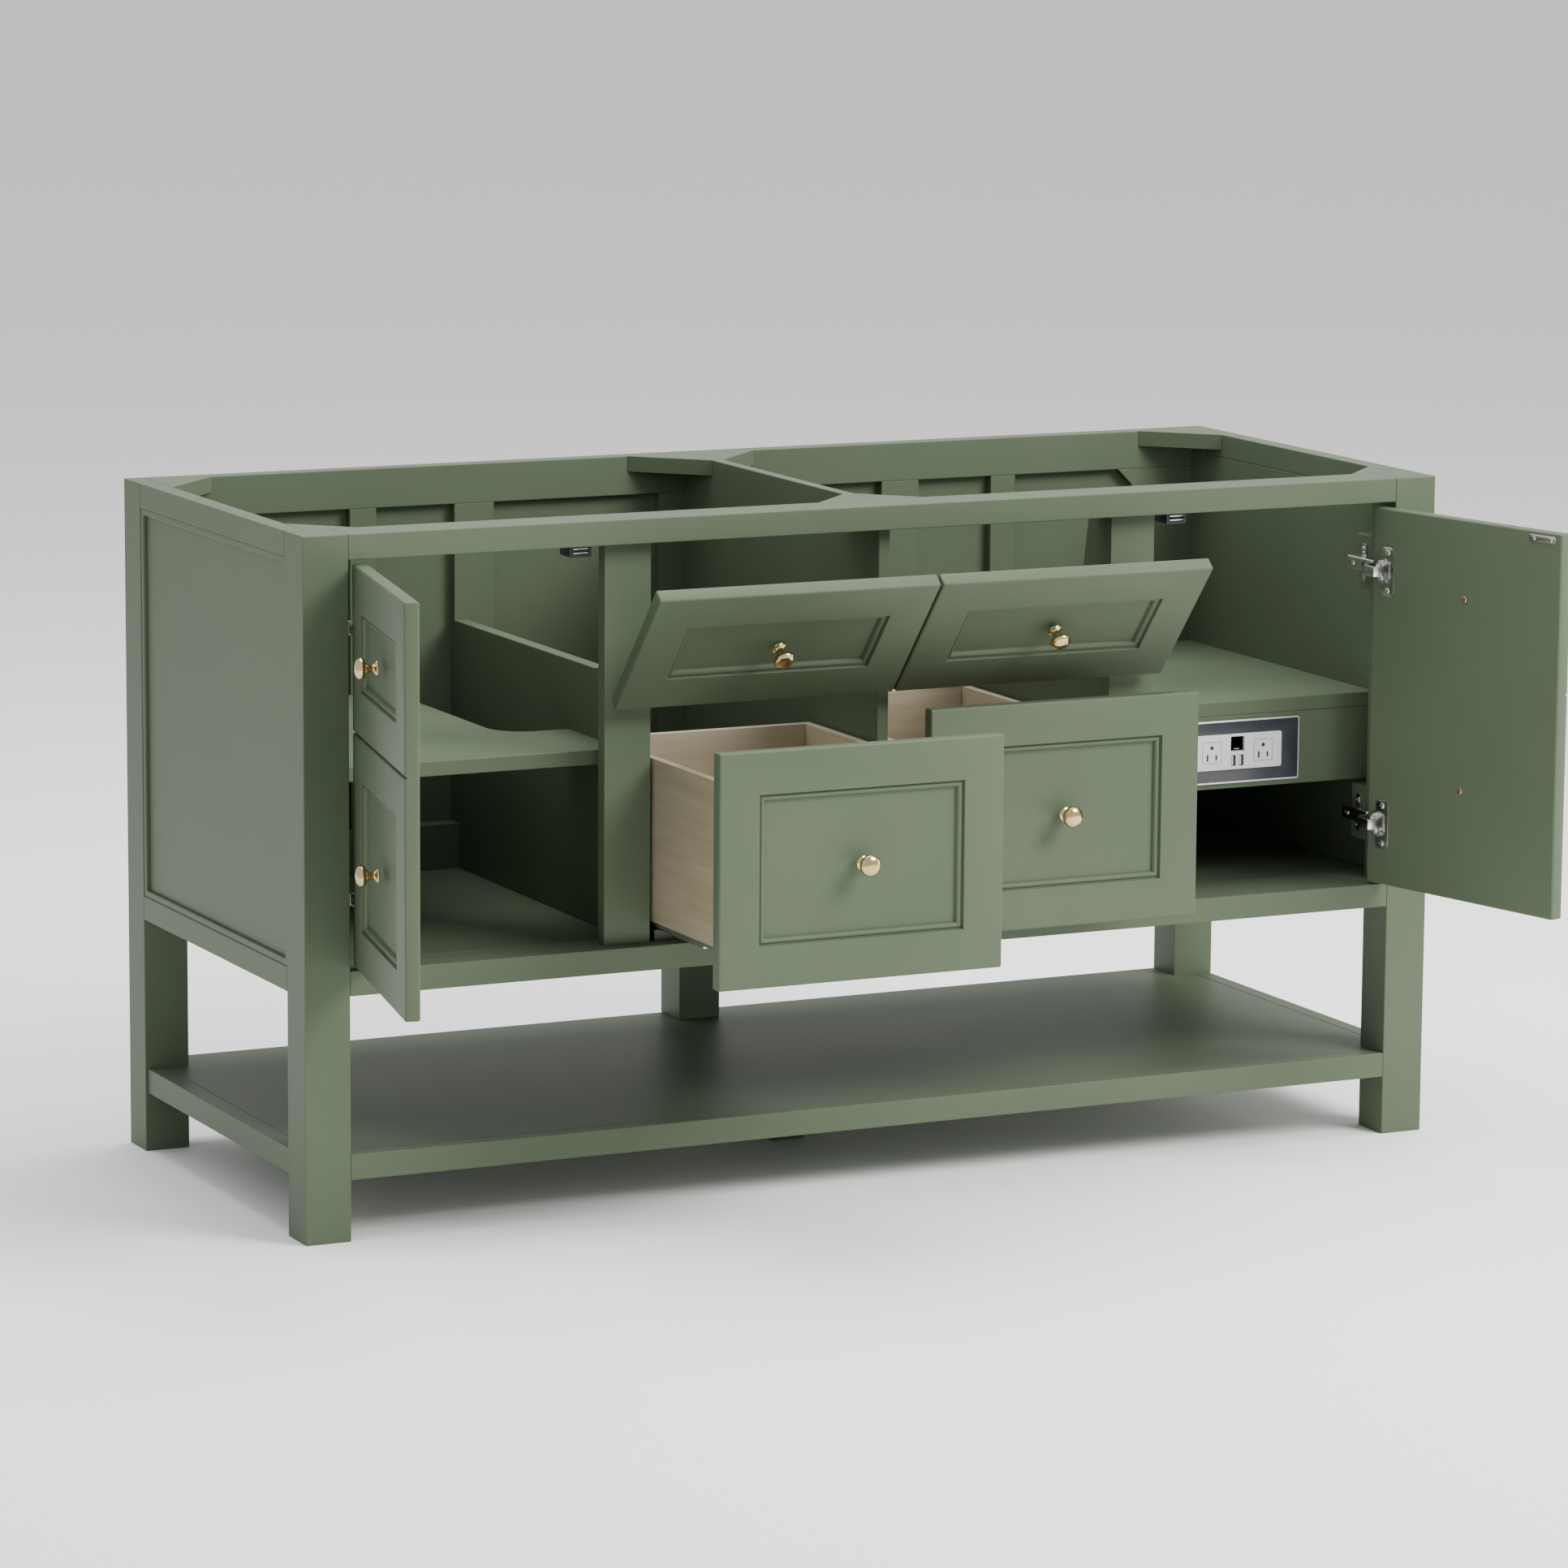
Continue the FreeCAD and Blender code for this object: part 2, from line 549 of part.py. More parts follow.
# --------------------------------------------------------------------- doors
door_tall = "door_high - door_low"
lower_panel = ("lower_panel_low - door_low", "lower_panel_high - door_low")
upper_panel = ("upper_panel_low - door_low", "upper_panel_high - door_low")
inner_face = "front_thick - depth / 2"
for side, sign in (("left", -1), ("right", 1)):
    hinge_edge = sign * (half_width - dims["door_start"])
    start = hinge_edge - (dims["door_wide"] if side == "right" else 0)
    pivot = (sign * (half_width - dims["pivot_x"]), dims["pivot_y"] - half_depth, 0)
    swing = turned(pivot, (0, 0, 1), sign * pose[side + "_door"])
    leaf = panelled_front(side + "_door_leaf", "door_wide", door_tall, [lower_panel, upper_panel],
                          swing.multiply(at(start, -half_depth, dims["door_low"])),
                          bores=[split_groove, cup_bores(side == "left")])
    keep(leaf, side + "_door")
    centre_x = start + dims["door_wide"] / 2
    group(side + "_door_knobs", [knob("%s_knob_%s" % (side, name), centre_x, dims["knob_" + name])
                                 for name in ("low", "high")], swing)
    cups = []
    cup_x = hinge_edge - sign * dims["cup_set"]
    cup_y = dims["front_thick"] - half_depth
    flange_x = hinge_edge - sign * dims["flange_set"] - dims["flange_wide"] / 2
    for name, height in hinge_heights.items():
        shell = rod("%s_cup_%s" % (side, name), "cup_radius", "cup_deep",
                    (cup_x, cup_y, dims[height]), (0, -1, 0))
        flange = board("%s_flange_%s" % (side, name), "%g" % flange_x, inner_face,
                       height + " - flange_tall / 2", "flange_wide", "flange_thick", "flange_tall")
        solid = fuse("%s_cup_body_%s" % (side, name), [shell, flange])
        hollow = rod("%s_hollow_%s" % (side, name), "cup_radius - cup_wall",
                     "cup_deep - cup_wall + cup_over",
                     (cup_x, cup_y + dims["cup_over"], dims[height]), (0, -1, 0))
        cups.append(cut("%s_hinge_cup_%s" % (side, name), solid, hollow))
    group(side + "_hinge_cups", cups, swing)
    hinge_links(side, sign)
    strike_x = hinge_edge - sign * dims["strike_set"] - (dims["strike_wide"] if side == "right" else 0)
    strike = board(side + "_strike", "%g" % strike_x, inner_face, "strike_low",
                   "strike_wide", "strike_thick", "strike_tall")
    group(side + "_strike_plate", [strike], swing)

pair("catches", board("catch", "catch_start - width / 2", "post_set - depth / 2",
                      "height - rail - catch_tall", "catch_wide", "catch_deep", "catch_tall"))

# ----------------------------------------------------------------- tilt-outs
tilt_tall = "tilt_high - tilt_low"
bracket_low = "tilt_low + bracket_lift"
tip = turned((0, -half_depth - dims["tilt_pivot_y"], dims["tilt_pivot_z"]), (1, 0, 0), pose["tilt"])
front_x = dims["front_start"] - half_width
front_starts = {"left": front_x, "right": -front_x - dims["front_wide"]}
for side, sign in (("left", -1), ("right", 1)):
    start = front_starts[side]
    slab = panelled_front(side + "_tilt_board", "front_wide", tilt_tall,
                          [("stile", "tilt_high - tilt_low - stile")],
                          tip.multiply(at(start, -half_depth, dims["tilt_low"])))
    keep(slab, side + "_tiltout_front")
    knob_z = (dims["tilt_low"] + dims["tilt_high"]) / 2
    group(side + "_tiltout_knob",
          [knob(side + "_tilt_knob", start + dims["front_wide"] / 2, knob_z)], tip)
    brackets = []
    for name in ("outer", "inner"):
        x = sign * (half_width - dims["bracket_" + name])
        brackets.append(board("%s_tilt_bracket_%s" % (side, name), "%g - bracket_thick / 2" % x,
                              inner_face, bracket_low, "bracket_thick", "bracket_deep", "bracket_tall"))
    group(side + "_tiltout_brackets", brackets, tip)
pair("tilt_hinge_plates",
     board("tilt_plate_post", "post_start + post_wide - width / 2", "post_set + gap - depth / 2",
           bracket_low, "gap", "bracket_deep", "bracket_tall"),
     board("tilt_plate_centre", "-partition / 2 - gap", "partition_set - depth / 2", bracket_low,
           "gap", "bracket_deep", "bracket_tall"))

# ------------------------------------------------------------------- drawers
drawer_tall = "drawer_high - door_low"
box_tall = "box_high - box_low"
middle_low = "box_low - slide_top - slide_gap - slide_mid"
box_left = dims["box_start"] - half_width
box_starts = {"left": box_left, "right": -box_left - dims["box_wide"]}
runners = []
for side in ("left", "right"):
    pull = at(0, -pose[side + "_drawer"], 0)
    half_pull = at(0, -pose[side + "_drawer"] / 2, 0)
    start = front_starts[side]
    slab = panelled_front(side + "_drawer_board", "front_wide", drawer_tall, [lower_panel],
                          pull.multiply(at(start, -half_depth, dims["door_low"])))
    keep(slab, side + "_drawer_front")
    group(side + "_drawer_knob",
          [knob(side + "_drawer_turned", start + dims["front_wide"] / 2, dims["knob_low"])], pull)
    box_x = box_starts[side]
    walls = []
    for number, x in enumerate((box_x, box_x + dims["box_wide"] - dims["ply"])):
        walls.append(board("%s_drawer_side_%d" % (side, number), "%g" % x, inner_face, "box_low",
                           "ply", "box_long", box_tall))
    for number, y in enumerate((inner_face, "front_thick + box_long - ply - depth / 2")):
        walls.append(board("%s_drawer_end_%d" % (side, number), "%g + ply" % box_x, y, "box_low",
                           "box_wide - ply - ply", "ply", box_tall))
    group(side + "_drawer_box", walls, pull)
    bottom = board(side + "_bottom", "%g + ply" % box_x, "front_thick + ply - depth / 2",
                   "box_low + bottom_lift", "box_wide - ply - ply", "box_long - ply - ply",
                   "bottom_thick")
    group(side + "_drawer_bottom", [bottom], pull)
    outer, middle = [], []
    far_slide = box_x + dims["box_wide"] - dims["slide_set"] - dims["slide_wide"]
    for number, x in enumerate((box_x + dims["slide_set"], far_slide)):
        outer.append(board("%s_slide_%d" % (side, number), "%g" % x,
                           "front_thick + slide_set - depth / 2", "box_low - slide_top", "slide_wide",
                           "box_long - slide_set - slide_set", "slide_top"))
        middle.append(board("%s_mid_%d" % (side, number), "%g + slide_wide / 2 - slide_mid_wide / 2" % x,
                            "mid_start - depth / 2", middle_low, "slide_mid_wide", "mid_long",
                            "slide_mid"))
        runners.append(board("%s_runner_%d" % (side, number), "%g" % x, "partition_set - depth / 2",
                             "floor_top", "slide_wide", "box_long - runner_short",
                             middle_low + " - slide_gap - floor_top"))
    group(side + "_drawer_slides", outer, pull)
    group(side + "_slide_members", middle, half_pull)
group("drawer_runners", runners)

# ------------------------------------------------------------ check and write
doc.recompute()
for item in doc.Objects:
    if "Invalid" in item.State or "Error" in item.State:
        raise ValueError("%s did not compute: %s" % (item.Label, item.State))
for item in nodes:
    if item.Shape.isNull() or not item.Shape.isValid() or not item.Shape.Solids:
        raise ValueError(item.Label + " has no valid solid")
for item in nodes:
    item.Shape.exportStep("parts/%s.step" % item.Label)
print(len(nodes), "nodes,", sum(len(item.Shape.Solids) for item in nodes), "solids")
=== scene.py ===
import bpy
import json
import math
from mathutils import Matrix, Vector


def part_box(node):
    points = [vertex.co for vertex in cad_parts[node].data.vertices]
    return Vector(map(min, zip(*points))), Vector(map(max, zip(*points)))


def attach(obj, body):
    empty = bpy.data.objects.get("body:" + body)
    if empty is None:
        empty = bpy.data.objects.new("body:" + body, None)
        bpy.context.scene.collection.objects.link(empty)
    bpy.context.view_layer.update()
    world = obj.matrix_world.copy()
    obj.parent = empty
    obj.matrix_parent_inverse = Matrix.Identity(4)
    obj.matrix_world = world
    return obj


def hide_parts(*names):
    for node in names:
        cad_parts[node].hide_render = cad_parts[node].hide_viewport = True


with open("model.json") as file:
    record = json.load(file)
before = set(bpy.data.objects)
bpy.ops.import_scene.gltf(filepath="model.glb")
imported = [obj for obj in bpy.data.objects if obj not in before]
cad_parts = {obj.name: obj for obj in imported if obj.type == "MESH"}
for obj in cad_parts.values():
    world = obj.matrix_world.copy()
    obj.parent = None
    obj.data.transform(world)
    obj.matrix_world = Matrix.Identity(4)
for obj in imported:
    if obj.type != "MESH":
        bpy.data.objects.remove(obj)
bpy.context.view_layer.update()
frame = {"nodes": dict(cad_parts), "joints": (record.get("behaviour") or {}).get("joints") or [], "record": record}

nodes = frame["nodes"]
joints = {joint["name"]: joint for joint in frame["joints"]}
sides = {"left": -1, "right": 1}
print("frame loaded:", len(nodes), "nodes")


# small helpers used at the bench

def deselectAll():
    if bpy.context.mode != "OBJECT":
        bpy.ops.object.mode_set(mode="OBJECT")
    bpy.ops.object.select_all(action="DESELECT")


def pick(*pieces):
    deselectAll()
    for piece in pieces:
        piece.select_set(True)
    bpy.context.view_layer.objects.active = pieces[0]


def applyPlace(piece):
    pick(piece)
    bpy.ops.object.transform_apply(location=True, rotation=True, scale=True)


def joinAll(pieces):
    pick(*pieces)
    if len(pieces) > 1:
        bpy.ops.object.join()
    return bpy.context.object


def useModifier(piece, kind, **values):
    pick(piece)
    modifier = piece.modifiers.new(kind.title(), kind)
    for name, value in values.items():
        setattr(modifier, name, value)
    bpy.ops.object.modifier_apply(modifier=modifier.name)


def plainBlock(low, high):
    deselectAll()
    centre = [(a + b) / 2 for a, b in zip(low, high)]
    bpy.ops.mesh.primitive_cube_add(size=1, location=centre)
    block = bpy.context.object
    block.scale = [b - a for a, b in zip(low, high)]
    applyPlace(block)
    return block


def roundedBox(low, high, radius, segments):
    # a block between two corners with its edges rolled over
    block = plainBlock(low, high)
    bpy.ops.object.mode_set(mode="EDIT")
    bpy.ops.mesh.select_all(action="SELECT")
    bpy.ops.mesh.bevel(offset=radius, segments=segments, affect="EDGES")
    bpy.ops.object.mode_set(mode="OBJECT")
    return block


def roundedPlate(low, high, cornerRadius, edgeRadius, axis=1, segments=6):
    # a plate whose four corners along one axis are rounded, then its rims softened
    plate = plainBlock(low, high)
    bpy.ops.object.mode_set(mode="EDIT")
    bpy.ops.mesh.select_mode(type="EDGE")
    bpy.ops.mesh.select_all(action="DESELECT")
    bpy.ops.object.mode_set(mode="OBJECT")
    for edge in plate.data.edges:
        ends = [plate.data.vertices[index].co for index in edge.vertices]
        run = ends[1] - ends[0]
        edge.select = abs(run[axis]) > 0.9 * run.length
    bpy.ops.object.mode_set(mode="EDIT")
    bpy.ops.mesh.bevel(offset=cornerRadius, segments=segments, affect="EDGES")
    bpy.ops.object.mode_set(mode="OBJECT")
    if edgeRadius:
        useModifier(plate, "BEVEL", width=edgeRadius, segments=2, limit_method="ANGLE",
                    angle_limit=math.radians(50))
    return plate


def faceTurn(facing):
    return Vector((0, 0, 1)).rotation_difference(Vector(facing)).to_matrix().to_4x4()


def turnedPiece(steps, place, facing, vertices):
    # a lathe piece: a disc drawn out step by step as (how far along, radius),
    # then turned to face a way
    deselectAll()
    bpy.ops.mesh.primitive_circle_add(vertices=vertices, radius=steps[0][1], fill_type="NGON",
                                      location=(0, 0, steps[0][0]))
    piece = bpy.context.object
    applyPlace(piece)
    bpy.ops.object.mode_set(mode="EDIT")
    bpy.ops.mesh.select_mode(type="FACE")
    bpy.ops.mesh.select_all(action="SELECT")
    for (before, radiusBefore), (along, radius) in zip(steps, steps[1:]):
        bpy.ops.mesh.extrude_region_move(TRANSFORM_OT_translate={"value": (0, 0, along - before)})
        grow = radius / radiusBefore
        bpy.ops.transform.resize(value=(grow, grow, 1), center_override=(0, 0, along))
    bpy.ops.mesh.select_all(action="SELECT")
    bpy.ops.mesh.normals_make_consistent(inside=False)
    bpy.ops.object.mode_set(mode="OBJECT")
    piece.matrix_world = Matrix.Translation(place) @ faceTurn(facing)
    applyPlace(piece)
    return piece


def carve(piece, cutters):
    for cutter in cutters:
        pick(piece)
        modifier = piece.modifiers.new("Carve", "BOOLEAN")
        modifier.operation = "DIFFERENCE"
        modifier.object = cutter
        modifier.solver = "EXACT"
        bpy.ops.object.modifier_apply(modifier=modifier.name)
    for cutter in cutters:
        bpy.data.objects.remove(cutter)
    return piece


def movePiece(piece, matrix):
    piece.matrix_world = matrix @ piece.matrix_world
    applyPlace(piece)
    return piece


def finishPiece(piece, name, body, material, standsFor=()):
    piece.name = name
    piece.data.name = name
    piece.data.materials.clear()
    piece.data.materials.append(material)
    pick(piece)
    bpy.ops.object.shade_smooth_by_angle(angle=math.radians(35))
    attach(piece, body)
    if standsFor:
        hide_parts(*standsFor)
    return piece


def restTurn(jointName, closedAngle):
    # from closed to the rest pose: turned back about the joint by its closed angle
    joint = joints[jointName]
    pivot = Vector(joint["pos_m"])
    turn = Matrix.Rotation(math.radians(-closedAngle), 4, Vector(joint["axis"]))
    return Matrix.Translation(pivot) @ turn @ Matrix.Translation(-pivot)


doorRest = {
    "left": restTurn("left_door_hinge", joints["left_door_hinge"]["range_deg"][1]),
    "right": restTurn("right_door_hinge", joints["right_door_hinge"]["range_deg"][0]),
}
tiltRest, drawerRest = {}, {}
for side in sides:
    tiltRest[side] = restTurn(side + "_tilt", joints[side + "_tilt"]["range_deg"][0])
    slide = joints[side + "_drawer_slide"]
    drawerRest[side] = Matrix.Translation(Vector(slide["axis"]) * -slide["range_m"][0])


# camera and light

cameraSettings = {
    "place": (-3.4237, -7.0936, 1.7959),
    "turn": 25.778,
    "tip": 9.688,
    "roll": -0.406,
    "lens": 146.47,
    "sensor": 36,
    "farthest": 300,
}


def setCamera():
    bpy.ops.object.camera_add(location=cameraSettings["place"])
    camera = bpy.context.object
    camera.name = "viewCamera"
    camera.data.lens = cameraSettings["lens"]
    camera.data.sensor_width = cameraSettings["sensor"]
    camera.data.clip_end = cameraSettings["farthest"]
    facing = Matrix.Rotation(math.radians(-cameraSettings["turn"]), 4, "Z")
    lying = Matrix.Rotation(math.radians(90 - cameraSettings["tip"]), 4, "X")
    rolled = Matrix.Rotation(math.radians(-cameraSettings["roll"]), 4, "Z")
    camera.matrix_world = Matrix.Translation(cameraSettings["place"]) @ facing @ lying @ rolled
    bpy.context.scene.camera = camera


lightSettings = {
    "key": {"place": (3.2, -4.2, 4.6), "size": 3.0, "power": 590, "tint": (1.0, 0.985, 0.965)},
    "fill": {"place": (-4.5, -3.0, 2.4), "size": 3.5, "power": 12, "tint": (0.96, 0.98, 1.0)},
    "top": {"place": (0.2, 0.6, 4.2), "size": 3.2, "power": 210, "tint": (1.0, 1.0, 1.0)},
    "side": {"place": (4.6, -0.9, 1.1), "size": 1.6, "power": 90, "tint": (1.0, 0.99, 0.98)},
    "world": 0.88,
    "aim": (0, 0, 0.45),
}


def setLights():
    aim = Vector(lightSettings["aim"])
    for name in ("key", "fill", "top", "side"):
        values = lightSettings[name]
        bpy.ops.object.light_add(type="AREA", location=values["place"])
        lamp = bpy.context.object
        lamp.name = name + "Light"
        lamp.data.size = values["size"]
        lamp.data.energy = values["power"]
        lamp.data.color = values["tint"]
        lamp.rotation_euler = (aim - Vector(values["place"])).to_track_quat("-Z", "Y").to_euler()
    world = bpy.data.worlds.new("studioWorld")
    world.use_nodes = True
    background = world.node_tree.nodes["Background"]
    background.inputs["Color"].default_value = (1, 1, 1, 1)
    background.inputs["Strength"].default_value = lightSettings["world"]
    bpy.context.scene.world = world


# materials

def newMaterial(name):
    material = bpy.data.materials.new(name)
    material.use_nodes = True
    tree = material.node_tree
    return material, tree, tree.nodes["Principled BSDF"]


def addNode(tree, kind, **values):
    node = tree.nodes.new(kind)
    for key, value in values.items():
        if hasattr(node, key):
            setattr(node, key, value)
        else:
            node.inputs[key].default_value = value
    return node


def objectPlace(tree, scale=(1, 1, 1)):
    place = addNode(tree, "ShaderNodeTexCoord")
    mapping = addNode(tree, "ShaderNodeMapping", Scale=scale)
    tree.links.new(place.outputs["Object"], mapping.inputs["Vector"])
    return mapping.outputs["Vector"]


def blendColours(tree, factor, stops):
    ramp = addNode(tree, "ShaderNodeValToRGB")
    elements = ramp.color_ramp.elements
    while len(elements) < len(stops):
        elements.new(0.5)
    for element, (position, colour) in zip(elements, stops):
        element.position = position
        element.color = (*colour, 1)
    tree.links.new(factor, ramp.inputs["Fac"])
    return ramp.outputs["Color"]


def roughBand(tree, factor, low, high, shader):
    band = addNode(tree, "ShaderNodeMapRange")
    band.inputs["To Min"].default_value = low
    band.inputs["To Max"].default_value = high
    tree.links.new(factor, band.inputs["Value"])
    tree.links.new(band.outputs["Result"], shader.inputs["Roughness"])


def bumpFrom(tree, height, shader, strength, distance, below=None):
    bump = addNode(tree, "ShaderNodeBump", Strength=strength, Distance=distance)
    tree.links.new(height, bump.inputs["Height"])
    if below:
        tree.links.new(below.outputs["Normal"], bump.inputs["Normal"])
    tree.links.new(bump.outputs["Normal"], shader.inputs["Normal"])
    return bump


paintSettings = {
    "shade": (0.082, 0.108, 0.068), "light": (0.090, 0.117, 0.075), "dark": (0.075, 0.100, 0.062),
    "gloss": (0.42, 0.50), "peel": 520, "drift": 3.1, "grain": 95.0,
    "grainBump": (0.16, 0.0006), "peelBump": (0.12, 0.0004),
    "shine": 0.17, "shineTint": (0.84, 0.92, 0.80, 1),
}


def paintMaterial(name, stretch=(1, 1, 1)):
    # sprayed satin lacquer: faint orange peel over a barely showing grain
    material, tree, shader = newMaterial(name)
    place = objectPlace(tree)
    drift = addNode(tree, "ShaderNodeTexNoise", Scale=paintSettings["drift"], Detail=3.0)
    tree.links.new(place, drift.inputs["Vector"])
    colour = blendColours(tree, drift.outputs["Fac"], [
        (0.25, paintSettings["dark"]), (0.5, paintSettings["shade"]), (0.75, paintSettings["light"])])
    tree.links.new(colour, shader.inputs["Base Color"])
    peel = addNode(tree, "ShaderNodeTexNoise", Scale=paintSettings["peel"], Detail=2.0)
    tree.links.new(place, peel.inputs["Vector"])
    grainPlace = objectPlace(tree, stretch)
    grain = addNode(tree, "ShaderNodeTexNoise", Scale=paintSettings["grain"], Detail=5.0)
    tree.links.new(grainPlace, grain.inputs["Vector"])
    strength, distance = paintSettings["grainBump"]
    low = addNode(tree, "ShaderNodeBump", Strength=strength, Distance=distance)
    tree.links.new(grain.outputs["Fac"], low.inputs["Height"])
    bumpFrom(tree, peel.outputs["Fac"], shader, *paintSettings["peelBump"], low)
    roughBand(tree, drift.outputs["Fac"], *paintSettings["gloss"], shader)
    shader.inputs["Specular IOR Level"].default_value = paintSettings["shine"]
    shader.inputs["Specular Tint"].default_value = paintSettings["shineTint"]
    return material


metalSettings = {"hairs": 700.0, "smudges": 60.0, "bump": (0.05, 0.0002)}


def metalMaterial(name, colours, gloss, brushed=(1, 1, 1)):
    # plated metal: fine hairs in its gloss and faint smudges in its colour
    material, tree, shader = newMaterial(name)
    place = objectPlace(tree, brushed)
    hairs = addNode(tree, "ShaderNodeTexNoise", Scale=metalSettings["hairs"], Detail=4.0)
    tree.links.new(place, hairs.inputs["Vector"])
    smudges = addNode(tree, "ShaderNodeTexNoise", Scale=metalSettings["smudges"], Detail=2.0)
    tree.links.new(objectPlace(tree), smudges.inputs["Vector"])
    colour = blendColours(tree, smudges.outputs["Fac"], [(0.3, colours[0]), (0.7, colours[1])])
    tree.links.new(colour, shader.inputs["Base Color"])
    roughBand(tree, hairs.outputs["Fac"], *gloss, shader)
    bumpFrom(tree, hairs.outputs["Fac"], shader, *metalSettings["bump"])
    shader.inputs["Metallic"].default_value = 1.0
    return material


mouldedSettings = {"spark": 900.0, "drift": 25.0, "bump": 0.08, "bumpDeep": 0.0002}


def mouldedMaterial(name, colours, gloss, bump=mouldedSettings["bump"], coat=0.0):
    # moulded plastic, coated steel or glass: a fine spark texture over a slow drift
    material, tree, shader = newMaterial(name)
    place = objectPlace(tree)
    spark = addNode(tree, "ShaderNodeTexNoise", Scale=mouldedSettings["spark"], Detail=2.0)
    tree.links.new(place, spark.inputs["Vector"])
    drift = addNode(tree, "ShaderNodeTexNoise", Scale=mouldedSettings["drift"], Detail=2.0)
    tree.links.new(place, drift.inputs["Vector"])
    colour = blendColours(tree, drift.outputs["Fac"], [(0.3, colours[0]), (0.7, colours[1])])
    tree.links.new(colour, shader.inputs["Base Color"])
    roughBand(tree, drift.outputs["Fac"], *gloss, shader)
    bumpFrom(tree, spark.outputs["Fac"], shader, bump, mouldedSettings["bumpDeep"])
    shader.inputs["Coat Weight"].default_value = coat
    return material


birchSettings = {
    "stretch": 38, "along": 2.2, "figureScale": 2.4, "gloss": (0.38, 0.52), "bump": (0.15, 0.0003),
    "figure": [(0.25, (0.29, 0.245, 0.160)), (0.5, (0.325, 0.278, 0.187)),
               (0.72, (0.355, 0.308, 0.214))],
    "plies": 7, "thick": 0.012,
    "layers": [(0.18, (0.22, 0.16, 0.10)), (0.26, (0.50, 0.43, 0.32)), (0.5, (0.43, 0.36, 0.26))],
}


def birchMaterial(name, grainAlong, layersAcross=None, start=0.0):
    # lacquered birch: long soft grain, and stacked plies on the cut edges that face up
    material, tree, shader = newMaterial(name)
    stretch = [birchSettings["stretch"]] * 3
    stretch[grainAlong] = birchSettings["along"]
    place = objectPlace(tree, stretch)
    figure = addNode(tree, "ShaderNodeTexNoise", Scale=birchSettings["figureScale"], Detail=6.0,
                     Distortion=0.7)
    tree.links.new(place, figure.inputs["Vector"])
    colour = blendColours(tree, figure.outputs["Fac"], birchSettings["figure"])
    if layersAcross is not None:
        spread = [0, 0, 0]
        spread[layersAcross] = 1.0
        edgePlace = objectPlace(tree, spread)
        length = addNode(tree, "ShaderNodeVectorMath", operation="DOT_PRODUCT")
        length.inputs[1].default_value = (1, 1, 1)
        tree.links.new(edgePlace, length.inputs[0])
        shifted = addNode(tree, "ShaderNodeMath", operation="SUBTRACT")
        shifted.inputs[1].default_value = start
        tree.links.new(length.outputs["Value"], shifted.inputs[0])
        count = addNode(tree, "ShaderNodeMath", operation="MULTIPLY")
        count.inputs[1].default_value = birchSettings["plies"] / birchSettings["thick"] / 2
        tree.links.new(shifted.outputs[0], count.inputs[0])
        saw = addNode(tree, "ShaderNodeMath", operation="PINGPONG")
        saw.inputs[1].default_value = 0.5
        tree.links.new(count.outputs[0], saw.inputs[0])
        layers = blendColours(tree, saw.outputs[0], birchSettings["layers"])
        shape = addNode(tree, "ShaderNodeNewGeometry")
        split = addNode(tree, "ShaderNodeSeparateXYZ")
        tree.links.new(shape.outputs["Normal"], split.inputs["Vector"])
        facing = addNode(tree, "ShaderNodeMath", operation="GREATER_THAN")
        facing.inputs[1].default_value = 0.8
        tree.links.new(split.outputs["Z"], facing.inputs[0])
        mix = addNode(tree, "ShaderNodeMix", data_type="RGBA")
        tree.links.new(facing.outputs[0], mix.inputs["Factor"])
        tree.links.new(colour, mix.inputs[6])
        tree.links.new(layers, mix.inputs[7])
        colour = mix.outputs[2]
    tree.links.new(colour, shader.inputs["Base Color"])
    roughBand(tree, figure.outputs["Fac"], *birchSettings["gloss"], shader)
    bumpFrom(tree, figure.outputs["Fac"], shader, *birchSettings["bump"])
    return material


paint = paintMaterial("sagePaint")
paintUpright = paintMaterial("sagePaintUpright", (1, 1, 0.06))
paintAcross = paintMaterial("sagePaintAcross", (0.06, 1, 1))
brass = metalMaterial("champagneBrass", [(0.52, 0.40, 0.19), (0.62, 0.49, 0.26)], (0.13, 0.22))
nickel = metalMaterial("nickelPlate", [(0.60, 0.60, 0.58), (0.72, 0.72, 0.70)], (0.16, 0.28))
zinc = metalMaterial("zincSteel", [(0.50, 0.52, 0.54), (0.62, 0.64, 0.66)], (0.28, 0.42),
                     (1, 0.04, 1))
blackSteel = mouldedMaterial("blackSteel", [(0.018, 0.018, 0.02), (0.028, 0.028, 0.03)],
                             (0.35, 0.5))
blackPlasticAndHoleShade = mouldedMaterial("blackPlasticAndHoleShade", [(0.015, 0.015, 0.015), (0.025, 0.025, 0.025)],
                               (0.45, 0.6), bump=0.2)
whitePlastic = mouldedMaterial("socketWhite", [(0.62, 0.62, 0.60), (0.68, 0.68, 0.66)],
                               (0.28, 0.36))
smokedGlass = mouldedMaterial("smokedPlate", [(0.028, 0.031, 0.038), (0.034, 0.038, 0.046)],
                              (0.24, 0.32), bump=0.01, coat=0.12)
satinRim = metalMaterial("satinRim", [(0.80, 0.80, 0.79), (0.88, 0.88, 0.87)], (0.42, 0.55))
bottomBirch = birchMaterial("birchPanel", 1)
print("materials ready")


# carried-over cabinet boards: softened edges and paint

boardEdges = {"painted": 0.0011, "other": 0.0004, "segments": 2, "sharpest": 32,
              "merge": 0.00002}
upright = ("front_legs", "rear_legs", "rear_centre_leg", "centre_foot", "posts",
           "back_stiles")
across = ("top_front_rail", "bottom_front_rail", "bottom_rear_rail", "back_rails")


